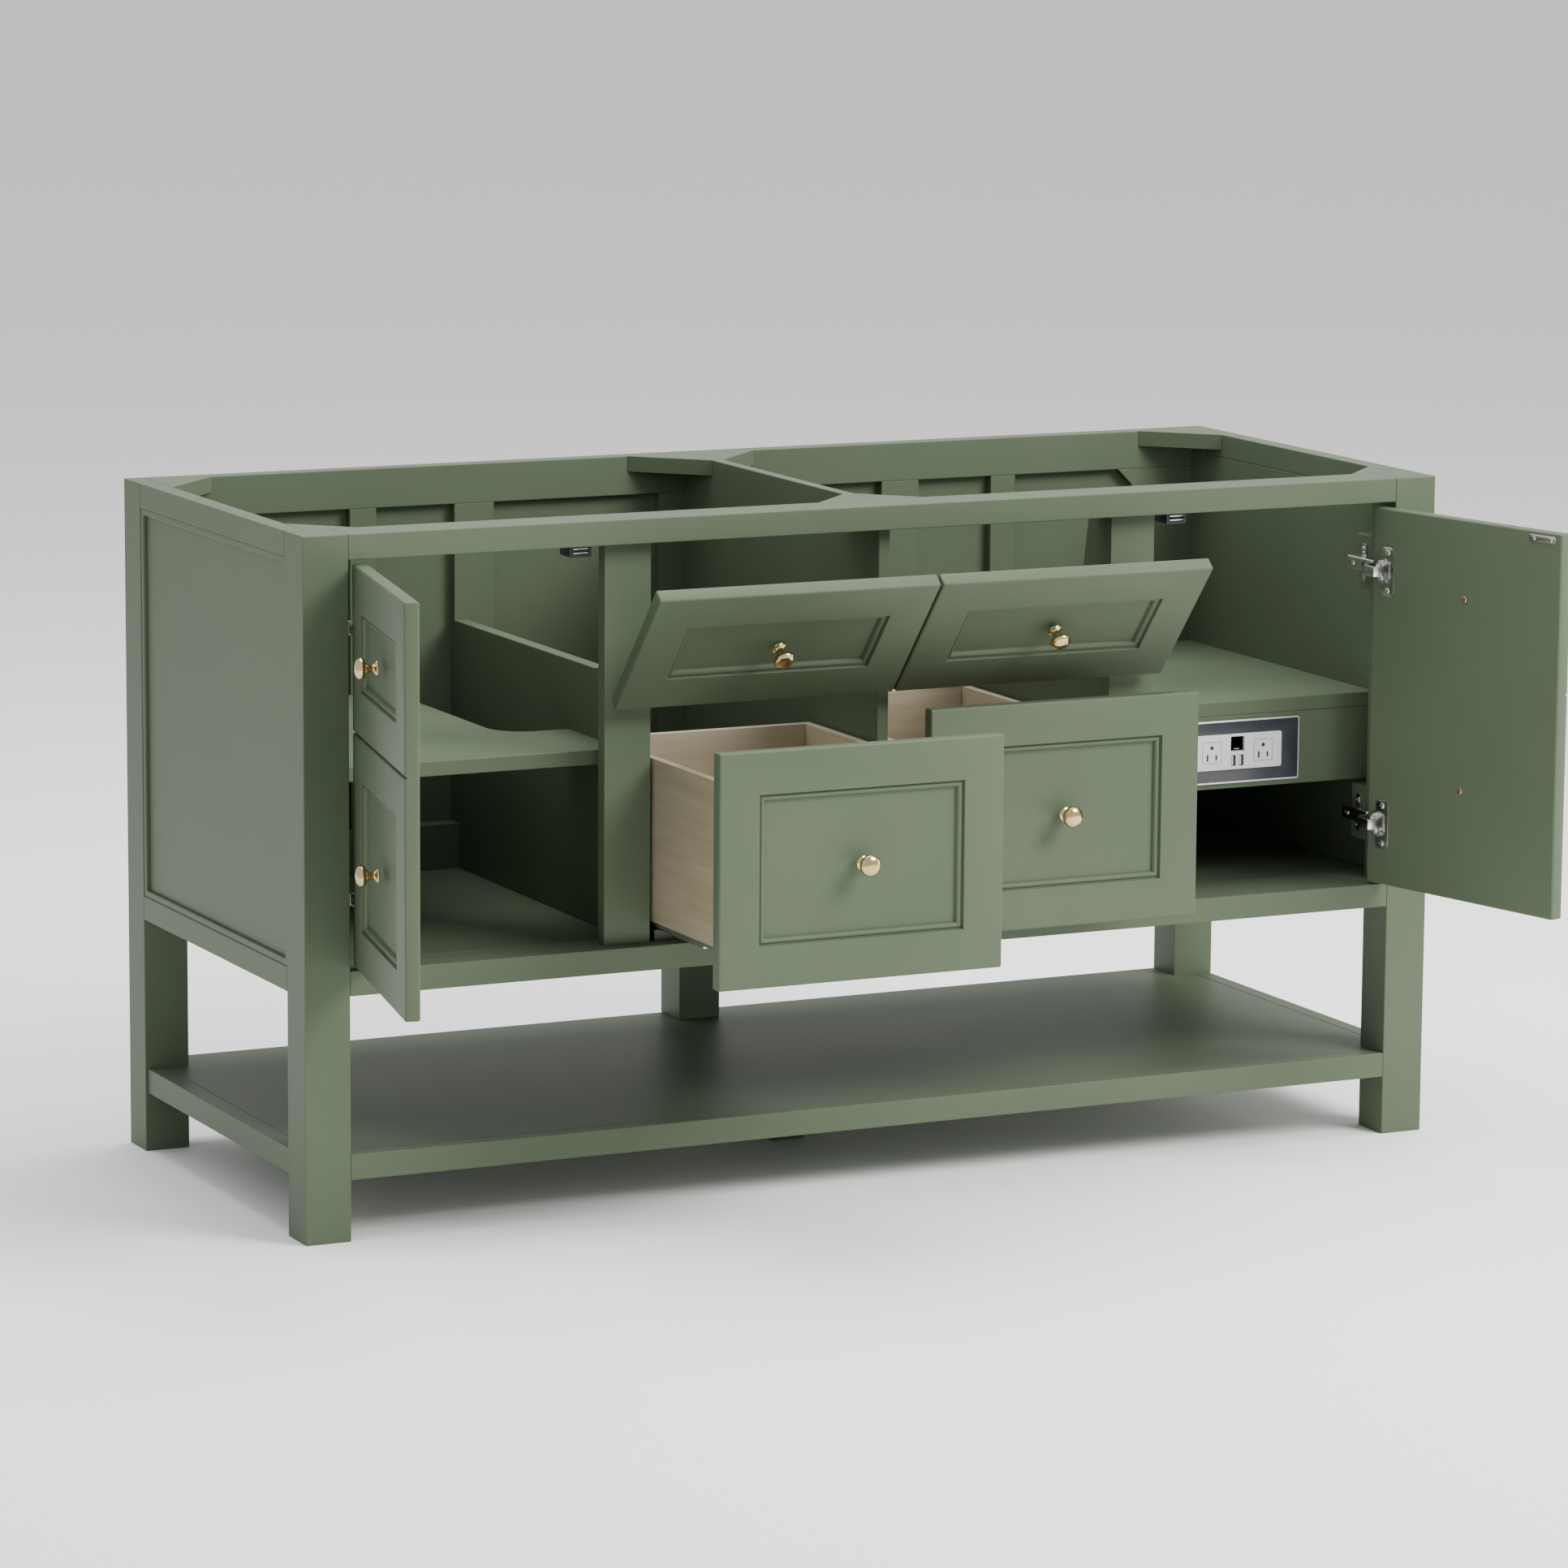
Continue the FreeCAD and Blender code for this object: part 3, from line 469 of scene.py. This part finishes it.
def dressBoards():
    materialOf = {"paint": paint, "knob_brass": brass, "nickel": nickel, "zinc_slide": zinc,
                  "black_runner": blackSteel, "black_plastic": blackPlasticAndHoleShade,
                  "birch_ply": bottomBirch, "power_glass": smokedGlass,
                  "power_white": whitePlastic}
    for part in frame["record"]["subparts"]:
        node = nodes[part["node"]]
        material = materialOf[part["material_slot"]]
        if part["node"] in upright:
            material = paintUpright
        if part["node"] in across:
            material = paintAcross
        node.data.materials.clear()
        node.data.materials.append(material)
        weld = node.modifiers.new("Weld", "WELD")
        weld.merge_threshold = boardEdges["merge"]
        bevel = node.modifiers.new("Softened", "BEVEL")
        bevel.width = boardEdges["painted" if part["material_slot"] == "paint" else "other"]
        bevel.segments = boardEdges["segments"]
        bevel.limit_method = "ANGLE"
        bevel.angle_limit = math.radians(boardEdges["sharpest"])


# knobs

knobSettings = {
    # how far from the front, and radius
    "steps": [(0.0, 0.0084), (0.0010, 0.0090), (0.0021, 0.0086), (0.0030, 0.0066), (0.0046, 0.0050),
              (0.0080, 0.0045), (0.0112, 0.0052), (0.0134, 0.0078), (0.0150, 0.0106), (0.0166, 0.0122),
              (0.0184, 0.01295), (0.0200, 0.0130), (0.0216, 0.0126), (0.0232, 0.0115), (0.0246, 0.0097),
              (0.0256, 0.0076), (0.0263, 0.0053), (0.0267, 0.0030), (0.0268, 0.0008)],
    "screwRadius": 0.0042, "heights": (0.465, 0.704),
}


def makeKnobs():
    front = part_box("top_front_rail")[0].y
    low, high = knobSettings["heights"]
    for side, sign in sides.items():
        doorX = sign * (frameHalf - doorSettings["start"] - doorSettings["wide"] / 2)
        frontX = sign * (frameHalf - frontSettings["start"] - frontSettings["wide"] / 2)
        jobs = {
            side + "_door": (side + "_door_knobs", [(doorX, low), (doorX, high)], doorRest[side]),
            side + "_tiltout": (side + "_tiltout_knob", [(frontX, high)], tiltRest[side]),
            side + "_drawer": (side + "_drawer_knob", [(frontX, low)], drawerRest[side]),
        }
        for body, (node, places, rest) in jobs.items():
            turned = [turnedPiece(knobSettings["steps"], (x, front, z), (0, -1, 0), 48)
                      for x, z in places]
            knobs = movePiece(joinAll(turned), rest)
            finishPiece(knobs, side + body.split("_")[1].title() + "Knobs", body,
                        brass, [node])
        inner = front + doorSettings["thick"]
        heads = [screwHead((doorX, inner, z), (0, 1, 0), knobSettings["screwRadius"])
                 for z in knobSettings["heights"]]
        finishPiece(movePiece(joinAll(heads), doorRest[side]), side + "KnobScrews",
                    side + "_door", brass)


def screwHead(place, facing, radius, height=0.0016):
    # a pan head with a crossed recess cut into it
    steps = [(-0.0004, radius), (height * 0.5, radius), (height * 0.85, radius * 0.82),
             (height, radius * 0.5)]
    head = turnedPiece(steps, (0, 0, 0), (0, 0, 1), 24)
    reach, half = radius * 0.62, radius * 0.11
    bottom, top = height * 0.45, height * 2
    slots = [roundedBox((-reach, -half, bottom), (reach, half, top), radius * 0.03, 1),
             roundedBox((-half, -reach, bottom), (half, reach, top), radius * 0.03, 1)]
    carve(head, slots)
    return movePiece(head, Matrix.Translation(place) @ faceTurn(facing))


# doors, fronts and their hardware

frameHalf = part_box("front_legs")[1].x
doorSettings = {"start": 0.061, "wide": 0.3275, "thick": 0.018}
frontSettings = {
    "start": 0.392, "wide": 0.3665, "stile": 0.051, "edge": 0.0026,
    "doorHeights": (0.327, 0.802), "drawerHeights": (0.327, 0.604), "tiltHeights": (0.607, 0.801),
    "lowerPanel": (0.3765, 0.5535), "upperPanel": (0.658, 0.750),
    "split": 0.605, "splitHalf": 0.0036, "splitPast": 0.01,
    # moulding round a panel: how far in from the opening and how deep below the face
    "moulding": [(0.0, -0.002), (0.0, 0.0), (0.0003, 0.0010), (0.0004, 0.0036), (0.0012, 0.0044),
                 (0.0020, 0.0040), (0.0028, 0.0031), (0.0040, 0.0025), (0.0052, 0.0026),
                 (0.0066, 0.0035), (0.0078, 0.0052), (0.0084, 0.0066), (0.0086, 0.0080)],
    # groove that parts a door into two fronts
    "groove": [(0.0, -0.002), (0.0, 0.0), (0.0010, 0.0003), (0.0017, 0.0010), (0.0021, 0.0020),
               (0.0022, 0.0034)],
}
hingeSettings = {
    "heights": (0.4035, 0.7235), "cupSet": 0.0225, "cupRadius": 0.0174, "cupDeep": 0.0105,
    "cupLip": 0.0012, "cupWall": 0.0013, "cupFloor": 0.0012,
    "bore": [(-0.0112, 0.0175), (0.002, 0.0175)],
    "flangeFrom": 0.017, "flangeWide": 0.022, "flangeTall": 0.062, "flangeThick": 0.0014,
    "flangeCorner": 0.007, "flangeEdge": 0.0003,
    "screwGap": 0.024, "screwSet": 0.0013, "screwRadius": 0.0038,
    # axle pin across the cup: how far along, and radius
    "pin": [(-0.013, 0.0012), (-0.0128, 0.0016), (0.0128, 0.0016), (0.013, 0.0012)],
    "pinBack": 0.009, "pinDeep": 0.0035,
    # bent link: in from the frame's side, back from its front
    "link": [(0.071, 0.0215), (0.072, 0.0255), (0.077, 0.025), (0.094, 0.015), (0.096, 0.008),
             (0.096, -0.014), (0.0815, -0.0155), (0.0815, -0.0105), (0.091, -0.009),
             (0.091, 0.006), (0.089, 0.011), (0.074, 0.020)],
    "linkHalf": 0.0065, "linkEdge": 0.0009, "linkSharpest": 25,
}
# mounting plate and arm: in from the frame's side, and back from its front
armSettings = {
    "plateIn": (0.057, 0.0594), "plateEdge": 0.0003,
    # the plate's two shapes: nearest, farthest, half the height, corner
    "wings": [(0.0655, 0.0765, 0.0238, 0.0045), (0.0585, 0.0855, 0.0078, 0.003)],
    "plateScrew": (0.0593, 0.071), "plateScrewGap": 0.016, "plateScrewRadius": 0.0038,
    "armIn": (0.0602, 0.0738), "armBack": (0.0272, 0.0858), "armHalf": 0.0084, "armCorner": 0.0016,
    "channelIn": (0.0590, 0.0722), "channelBack": (0.020, 0.092), "channelHalf": 0.0069,
    "channelEdge": 0.0006,
    "slotIn": (0.0700, 0.0760),
    "slots": [(0.039, 0.051, 0.0034, 0.0030), (0.068, 0.0815, 0.0028, 0.0026)],
    "adjusters": [(0.0708, 0.045), (0.0712, 0.075)], "adjusterRadius": 0.0031,
    "adjusterHigh": 0.0022,
    "axle": [(-0.0075, 0.0014), (-0.0073, 0.0018), (0.0073, 0.0018), (0.0075, 0.0014)],
    "axlePlace": (0.0690, 0.0300),
}


def extrudedOutline(points, low, high):
    # a flat outline in x and y drawn up between two heights
    deselectAll()
    bpy.ops.mesh.primitive_circle_add(vertices=len(points), radius=0.01, fill_type="NGON")
    shape = bpy.context.object
    for vertex, (x, y) in zip(shape.data.vertices, points):
        vertex.co = (x, y, low)
    bpy.ops.object.mode_set(mode="EDIT")
    bpy.ops.mesh.select_mode(type="FACE")
    bpy.ops.mesh.select_all(action="SELECT")
    bpy.ops.mesh.extrude_region_move(TRANSFORM_OT_translate={"value": (0, 0, high - low)})
    bpy.ops.mesh.select_all(action="SELECT")
    bpy.ops.mesh.normals_make_consistent(inside=False)
    bpy.ops.object.mode_set(mode="OBJECT")
    return shape


def steppedCutter(low, high, face, steps):
    # a hollow drawn down step by step below the face: (in from its edge, below the face)
    deselectAll()
    wide, tall = high[0] - low[0], high[1] - low[1]
    middle = ((low[0] + high[0]) / 2, (low[1] + high[1]) / 2)
    place = (middle[0], face + steps[0][1], middle[1])
    bpy.ops.mesh.primitive_plane_add(size=1, location=place, rotation=(math.pi / 2, 0, 0))
    cutter = bpy.context.object
    cutter.scale = (wide, tall, 1)
    applyPlace(cutter)
    bpy.ops.object.mode_set(mode="EDIT")
    bpy.ops.mesh.select_mode(type="FACE")
    bpy.ops.mesh.select_all(action="SELECT")
    for (insetBefore, deepBefore), (inset, deep) in zip(steps, steps[1:]):
        step = (0, deep - deepBefore, 0)
        bpy.ops.mesh.extrude_region_move(TRANSFORM_OT_translate={"value": step})
        grow = [(size - 2 * inset) / (size - 2 * insetBefore) for size in (wide, tall)]
        bpy.ops.transform.resize(value=(grow[0], 1, grow[1]),
                                 center_override=(middle[0], face + deep, middle[1]))
    bpy.ops.mesh.select_all(action="SELECT")
    bpy.ops.mesh.normals_make_consistent(inside=False)
    bpy.ops.object.mode_set(mode="OBJECT")
    return cutter


def makeFront(ends, heights, panels, rest, name, body, node, extras=()):
    # a painted slab with eased edges and moulded panels sunk into its face
    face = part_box("top_front_rail")[0].y
    back = face + doorSettings["thick"]
    slab = roundedBox((ends[0], face, heights[0]), (ends[1], back, heights[1]),
                      frontSettings["edge"], 4)
    stile = frontSettings["stile"]
    cutters = [steppedCutter((ends[0] + stile, low), (ends[1] - stile, high), face,
                             frontSettings["moulding"]) for low, high in panels]
    carve(slab, cutters + list(extras))
    finishPiece(movePiece(slab, rest), name, body, paint, [node])


def makeFronts():
    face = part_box("top_front_rail")[0].y
    for side, sign in sides.items():
        def span(start, wide):
            return tuple(sorted((sign * (frameHalf - start), sign * (frameHalf - start - wide))))
        doorEnds = span(doorSettings["start"], doorSettings["wide"])
        frontEnds = span(frontSettings["start"], frontSettings["wide"])
        split, half = frontSettings["split"], frontSettings["splitHalf"]
        past = frontSettings["splitPast"]
        extras = [steppedCutter((doorEnds[0] - past, split - half),
                                (doorEnds[1] + past, split + half), face,
                                frontSettings["groove"])]
        cupX = sign * (frameHalf - doorSettings["start"] - hingeSettings["cupSet"])
        for height in hingeSettings["heights"]:
            place = (cupX, face + doorSettings["thick"], height)
            extras.append(turnedPiece(hingeSettings["bore"], place, (0, 1, 0), 48))
        lower, upper = frontSettings["lowerPanel"], frontSettings["upperPanel"]
        makeFront(doorEnds, frontSettings["doorHeights"], [lower, upper], doorRest[side],
                  side + "DoorFront", side + "_door", side + "_door", extras)
        makeFront(frontEnds, frontSettings["tiltHeights"], [upper], tiltRest[side],
                  side + "TiltoutFront", side + "_tiltout", side + "_tiltout_front")
        makeFront(frontEnds, frontSettings["drawerHeights"], [lower], drawerRest[side],
                  side + "DrawerFrontPanel", side + "_drawer", side + "_drawer_front")


def makeHinges():
    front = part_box("top_front_rail")[0].y
    fixed = []
    for side, sign in sides.items():
        def cabinetX(x):
            return sign * (frameHalf - x)

        def span(near, far):
            return tuple(sorted((cabinetX(near), cabinetX(far))))
        cups, links = [], []
        hingeEdge = doorSettings["start"]
        inner = front + doorSettings["thick"]
        for height in hingeSettings["heights"]:
            # steel cup sunk in the door with its flange
            radius, deep = hingeSettings["cupRadius"], hingeSettings["cupDeep"]
            centre = (cabinetX(hingeEdge + hingeSettings["cupSet"]), inner, height)
            cup = turnedPiece([(-deep, radius * 0.9), (-deep * 0.9, radius), (0.0, radius),
                               (hingeSettings["cupLip"], radius)], centre, (0, 1, 0), 40)
            flangeEdge = hingeEdge + hingeSettings["flangeFrom"]
            low, high = span(flangeEdge, flangeEdge + hingeSettings["flangeWide"])
            tall = hingeSettings["flangeTall"] / 2
            flange = roundedPlate((low, inner, height - tall),
                                  (high, inner + hingeSettings["flangeThick"], height + tall),
                                  hingeSettings["flangeCorner"], hingeSettings["flangeEdge"])
            useModifier(cup, "BOOLEAN", operation="UNION", object=flange, solver="EXACT")
            bpy.data.objects.remove(flange)
            wall = radius - hingeSettings["cupWall"]
            hollow = turnedPiece([(-deep + hingeSettings["cupFloor"], radius - 0.003),
                                  (-deep + 0.003, wall), (0.006, wall)], centre, (0, 1, 0), 40)
            carve(cup, [hollow])
            cups.append(cup)
            screwX = (low + high) / 2
            for shift in (-hingeSettings["screwGap"], hingeSettings["screwGap"]):
                cups.append(screwHead((screwX, inner + hingeSettings["screwSet"], height + shift),
                                      (0, 1, 0), hingeSettings["screwRadius"]))
            pinX = cabinetX(hingeEdge + hingeSettings["cupSet"] - hingeSettings["pinBack"])
            cups.append(turnedPiece(hingeSettings["pin"],
                                    (pinX, inner - hingeSettings["pinDeep"], height), (0, 0, 1), 16))
            # the bent link that leaves the arm and reaches round the door's edge
            outline = [(cabinetX(x), y + front) for x, y in hingeSettings["link"]]
            half = hingeSettings["linkHalf"]
            link = extrudedOutline(outline, height - half, height + half)
            useModifier(link, "BEVEL", width=hingeSettings["linkEdge"], segments=2,
                        limit_method="ANGLE",
                        angle_limit=math.radians(hingeSettings["linkSharpest"]))
            links.append(link)
            fixed += hingeArm(sign, height, front, span, cabinetX)
        rest = doorRest[side]
        finishPiece(movePiece(joinAll(cups), rest), side + "HingeCups", side + "_door",
                    nickel, [side + "_hinge_cups"])
        finishPiece(joinAll(links), side + "HingeLinks", side + "_links", nickel,
                    [side + "_hinge_links"])
    finishPiece(joinAll(fixed), "hingeArms", "cabinet", nickel, ["hinge_arms"])


def hingeArm(sign, height, front, span, cabinetX):
    # mounting plate with wings, and the channel-shaped arm clipped over it
    def plate(ends, near, far, half, corner, edge, axis=0, segments=6):
        return roundedPlate((ends[0], front + near, height - half),
                            (ends[1], front + far, height + half), corner, edge, axis, segments)

    inward = (-sign, 0, 0)
    ends = span(*armSettings["plateIn"])
    pieces = [plate(ends, *wing, armSettings["plateEdge"]) for wing in armSettings["wings"]]
    screwIn, screwBack = armSettings["plateScrew"]
    for shift in (-armSettings["plateScrewGap"], armSettings["plateScrewGap"]):
        pieces.append(screwHead((cabinetX(screwIn), front + screwBack, height + shift), inward,
                                armSettings["plateScrewRadius"]))
    arm = plate(span(*armSettings["armIn"]), *armSettings["armBack"], armSettings["armHalf"],
                armSettings["armCorner"], 0, axis=1, segments=3)
    # the channel is open towards the plate, and its back is pierced for the adjusting screws
    openLow, openHigh = span(*armSettings["channelIn"])
    near, far = armSettings["channelBack"]
    half = armSettings["channelHalf"]
    channel = roundedBox((openLow, front + near, height - half),
                         (openHigh, front + far, height + half), armSettings["channelEdge"], 2)
    slotEnds = span(*armSettings["slotIn"])
    carve(arm, [channel] + [plate(slotEnds, *slot, 0) for slot in armSettings["slots"]])
    pieces.append(arm)
    for screwIn, screwBack in armSettings["adjusters"]:
        pieces.append(screwHead((cabinetX(screwIn), front + screwBack, height), inward,
                                armSettings["adjusterRadius"], armSettings["adjusterHigh"]))
    axleIn, axleBack = armSettings["axlePlace"]
    pieces.append(turnedPiece(armSettings["axle"], (cabinetX(axleIn), front + axleBack, height),
                              (0, 0, 1), 16))
    return pieces


catchSettings = {"strikeTop": 0.798, "strikeLow": 0.7885, "starts": (0.345, 0.373), "strikeSet": 0.273,
                 "strikeWide": 0.045}


def makeCatches():
    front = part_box("top_front_rail")[0].y
    low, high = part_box("catches")
    bodies, portsAndHoleShade = [], []
    for side, sign in sides.items():
        start, end = sorted(sign * (frameHalf - x) for x in catchSettings["starts"])
        block = roundedPlate((start, low.y + 0.0004, low.z), (end, high.y, high.z), 0.0022, 0.0005, axis=1)
        gap = roundedBox((start + 0.004, low.y - 0.002, low.z + 0.0035), (end - 0.004, low.y + 0.004, high.z - 0.0035),
                         0.0004, 2)
        carve(block, [gap])
        bodies.append(block)
        for z in (low.z + 0.0042, high.z - 0.0058):
            portsAndHoleShade.append(roundedBox((start + 0.0046, low.y, z), (end - 0.0046, low.y + 0.0035, z + 0.0016),
                                       0.0003, 2))
        strikeStart = doorSettings["start"] + catchSettings["strikeSet"]
        edges = sorted(sign * (frameHalf - strikeStart - wide) for wide in (0, catchSettings["strikeWide"]))
        inner = front + doorSettings["thick"]
        plate = roundedPlate((edges[0], inner, catchSettings["strikeLow"]), (edges[1], inner + 0.0011,
                                                                             catchSettings["strikeTop"]),
                             0.004, 0.0003)
        middle = (catchSettings["strikeLow"] + catchSettings["strikeTop"]) / 2
        parts = [plate] + [screwHead((x, inner + 0.0009, middle), (0, 1, 0), 0.0030, 0.0011)
                           for x in (edges[0] + 0.008, edges[1] - 0.008)]
        finishPiece(movePiece(joinAll(parts), doorRest[side]), side + "StrikePlate", side + "_door", nickel,
                    [side + "_strike_plate"])
    finishPiece(joinAll(bodies), "catchBlocks", "cabinet", blackPlasticAndHoleShade, ["catches"])
    finishPiece(joinAll(portsAndHoleShade), "catchContacts", "cabinet", nickel)


# drawer boxes

drawerSettings = {"ply": 0.012, "edge": 0.0009}


def makeDrawers():
    for side, sign in sides.items():
        low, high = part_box(side + "_drawer_box")
        ply = drawerSettings["ply"]
        edge = drawerSettings["edge"]
        walls = {
            "Left": ((low.x, low.y, low.z), (low.x + ply, high.y, high.z), 1, 0, low.x),
            "Right": ((high.x - ply, low.y, low.z), (high.x, high.y, high.z), 1, 0, high.x - ply),
            "Front": ((low.x + ply, low.y, low.z), (high.x - ply, low.y + ply, high.z), 0, 1, low.y),
            "Back": ((low.x + ply, high.y - ply, low.z), (high.x - ply, high.y, high.z), 0, 1, high.y - ply),
        }
        for name, (start, end, grain, across, edgeStart) in walls.items():
            wall = roundedBox(start, end, edge, 2)
            material = birchMaterial("birch%s%s" % (side.title(), name), grain, across, start=edgeStart)
            finishPiece(wall, side + "Drawer" + name, side + "_drawer", material,
                        [side + "_drawer_box"] if name == "Left" else ())


# power outlet in the right bay

powerSettings = {
    "middle": (0.533, 0.490), "rim": (0.180, 0.080), "insert": (0.128, 0.0456),
    "outlet": 0.028, "outletShift": 0.037, "slotGap": 0.0063, "socketDepth": 0.0003,
}


def makePower():
    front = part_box("power_fascia")[0].y
    middleX, middleZ = powerSettings["middle"]

    def plate(width, height, nearest, deepest, corner, edge):
        return roundedPlate((middleX - width / 2, front - nearest, middleZ - height / 2),
                            (middleX + width / 2, front - deepest, middleZ + height / 2), corner, edge)
    width, height = powerSettings["rim"]
    rim = plate(width, height, 0.0030, 0.0, 0.0035, 0.0004)
    carve(rim, [plate(width - 0.0040, height - 0.0040, 0.010, 0.0006, 0.0022, 0)])
    finishPiece(rim, "powerRim", "cabinet", satinRim)
    glass = plate(width - 0.0043, height - 0.0043, 0.0026, 0.0006, 0.0020, 0.0003)
    insertWidth, insertHeight = powerSettings["insert"]
    carve(glass, [plate(insertWidth, insertHeight, 0.010, -0.002, 0.003, 0)])
    finishPiece(glass, "powerGlass", "cabinet", smokedGlass, ["power_bezel"])
    insert = plate(insertWidth - 0.0004, insertHeight - 0.0004, 0.0040, -0.0370, 0.003, 0.0006)
    top = middleZ + insertHeight / 2
    cutters, grooves, portsAndHoleShade = [], [], []
    # the black plugs set 0.3 mm inside the earth holes and pin slots are painted shade: dark sheets put where the
    # holes would only be in shade
    sunk = front - 0.0040 + powerSettings["socketDepth"]
    for shift in (-powerSettings["outletShift"], powerSettings["outletShift"]):
        x = middleX + shift
        half = powerSettings["outlet"] / 2
        grooves.append(((x - half, middleZ - half), (x + half, middleZ + half)))
        cutters.append(turnedPiece([(-0.004, 0.0026), (0.001, 0.0026)], (x, front - 0.0040, top - 0.0165),
                                   (0, -1, 0), 24))
        portsAndHoleShade.append(turnedPiece([(-0.003, 0.0026), (-0.0002, 0.0026), (0.0, 0.0024)],
                                    (x, sunk, top - 0.0165), (0, -1, 0), 24))
        for slotShift, tall in ((-powerSettings["slotGap"], 0.0084), (powerSettings["slotGap"], 0.0070)):
            slotZ = top - 0.0289
            cutters.append(roundedBox((x + slotShift - 0.0013, front - 0.006, slotZ - tall / 2),
                                      (x + slotShift + 0.0013, front, slotZ + tall / 2), 0.0003, 1))
            portsAndHoleShade.append(roundedBox((x + slotShift - 0.0013, sunk, slotZ - tall / 2),
                                       (x + slotShift + 0.0013, sunk + 0.003, slotZ + tall / 2), 0.0001, 1))
    # two upright charging ports below one square port
    for shift in (-0.00565, 0.00565):
        cutters.append(roundedBox((middleX + shift - 0.0033, front - 0.006, top - 0.0410),
                                  (middleX + shift + 0.0033, front + 0.006, top - 0.0271), 0.0004, 1))
    cutters.append(roundedBox((middleX - 0.0100, front - 0.006, top - 0.0225),
                              (middleX + 0.0100, front + 0.006, top - 0.0035), 0.0008, 2))
    for low, high in grooves:
        ring = roundedPlate((low[0], front - 0.006, low[1]), (high[0], front - 0.0026, high[1]), 0.002, 0)
        core = roundedPlate((low[0] + 0.0009, front - 0.007, low[1] + 0.0009),
                            (high[0] - 0.0009, front - 0.002, high[1] - 0.0009), 0.0016, 0)
        carve(ring, [core])
        cutters.append(ring)
    carve(insert, cutters)
    finishPiece(insert, "powerInsert", "cabinet", whitePlastic, ["power_insert", "power_sockets"])
    # a square socket with a small latch, and the pale tongues of the charging ports
    portsAndHoleShade.append(roundedBox((middleX - 0.0100, front - 0.0006, top - 0.0225),
                               (middleX + 0.0100, front + 0.005, top - 0.0035), 0.0004, 2))
    tongues = [roundedBox((middleX - 0.0036, front - 0.0012, top - 0.0201), (middleX + 0.0036, front, top - 0.0193),
                          0.0003, 2)]
    for shift in (-0.00565, 0.00565):
        portsAndHoleShade.append(roundedBox((middleX + shift - 0.0033, front - 0.0034, top - 0.0410),
                                   (middleX + shift + 0.0033, front + 0.005, top - 0.0271), 0.0002, 1))
        tongues.append(roundedBox((middleX + shift - 0.0024, front - 0.0037, top - 0.0398),
                                  (middleX + shift - 0.0004, front + 0.002, top - 0.0283), 0.0002, 2))
    # black insides of the square socket and charging ports, together with the painted-shade plugs in the earth holes
    # and pin slots
    finishPiece(joinAll(portsAndHoleShade), "powerPortsAndHoleShade", "cabinet", blackPlasticAndHoleShade)
    finishPiece(joinAll(tongues), "powerTongues", "cabinet", whitePlastic)


# floor

def makeFloor():
    bpy.ops.mesh.primitive_plane_add(size=300, location=(0, 0, 0))
    floor = bpy.context.object
    floor.name = "studioFloor"
    material, tree, shader = newMaterial("studioPaper")
    shader.inputs["Base Color"].default_value = (0.93, 0.93, 0.93, 1)
    shader.inputs["Roughness"].default_value = 0.9
    floor.data.materials.append(material)


setCamera()
setLights()
makeFloor()
dressBoards()
print("boards dressed")
makeFronts()
print("fronts moulded")
makeKnobs()
print("knobs turned")
makeHinges()
makeCatches()
print("hinges and catches made")
makeDrawers()
makePower()
print("drawers and outlet made")
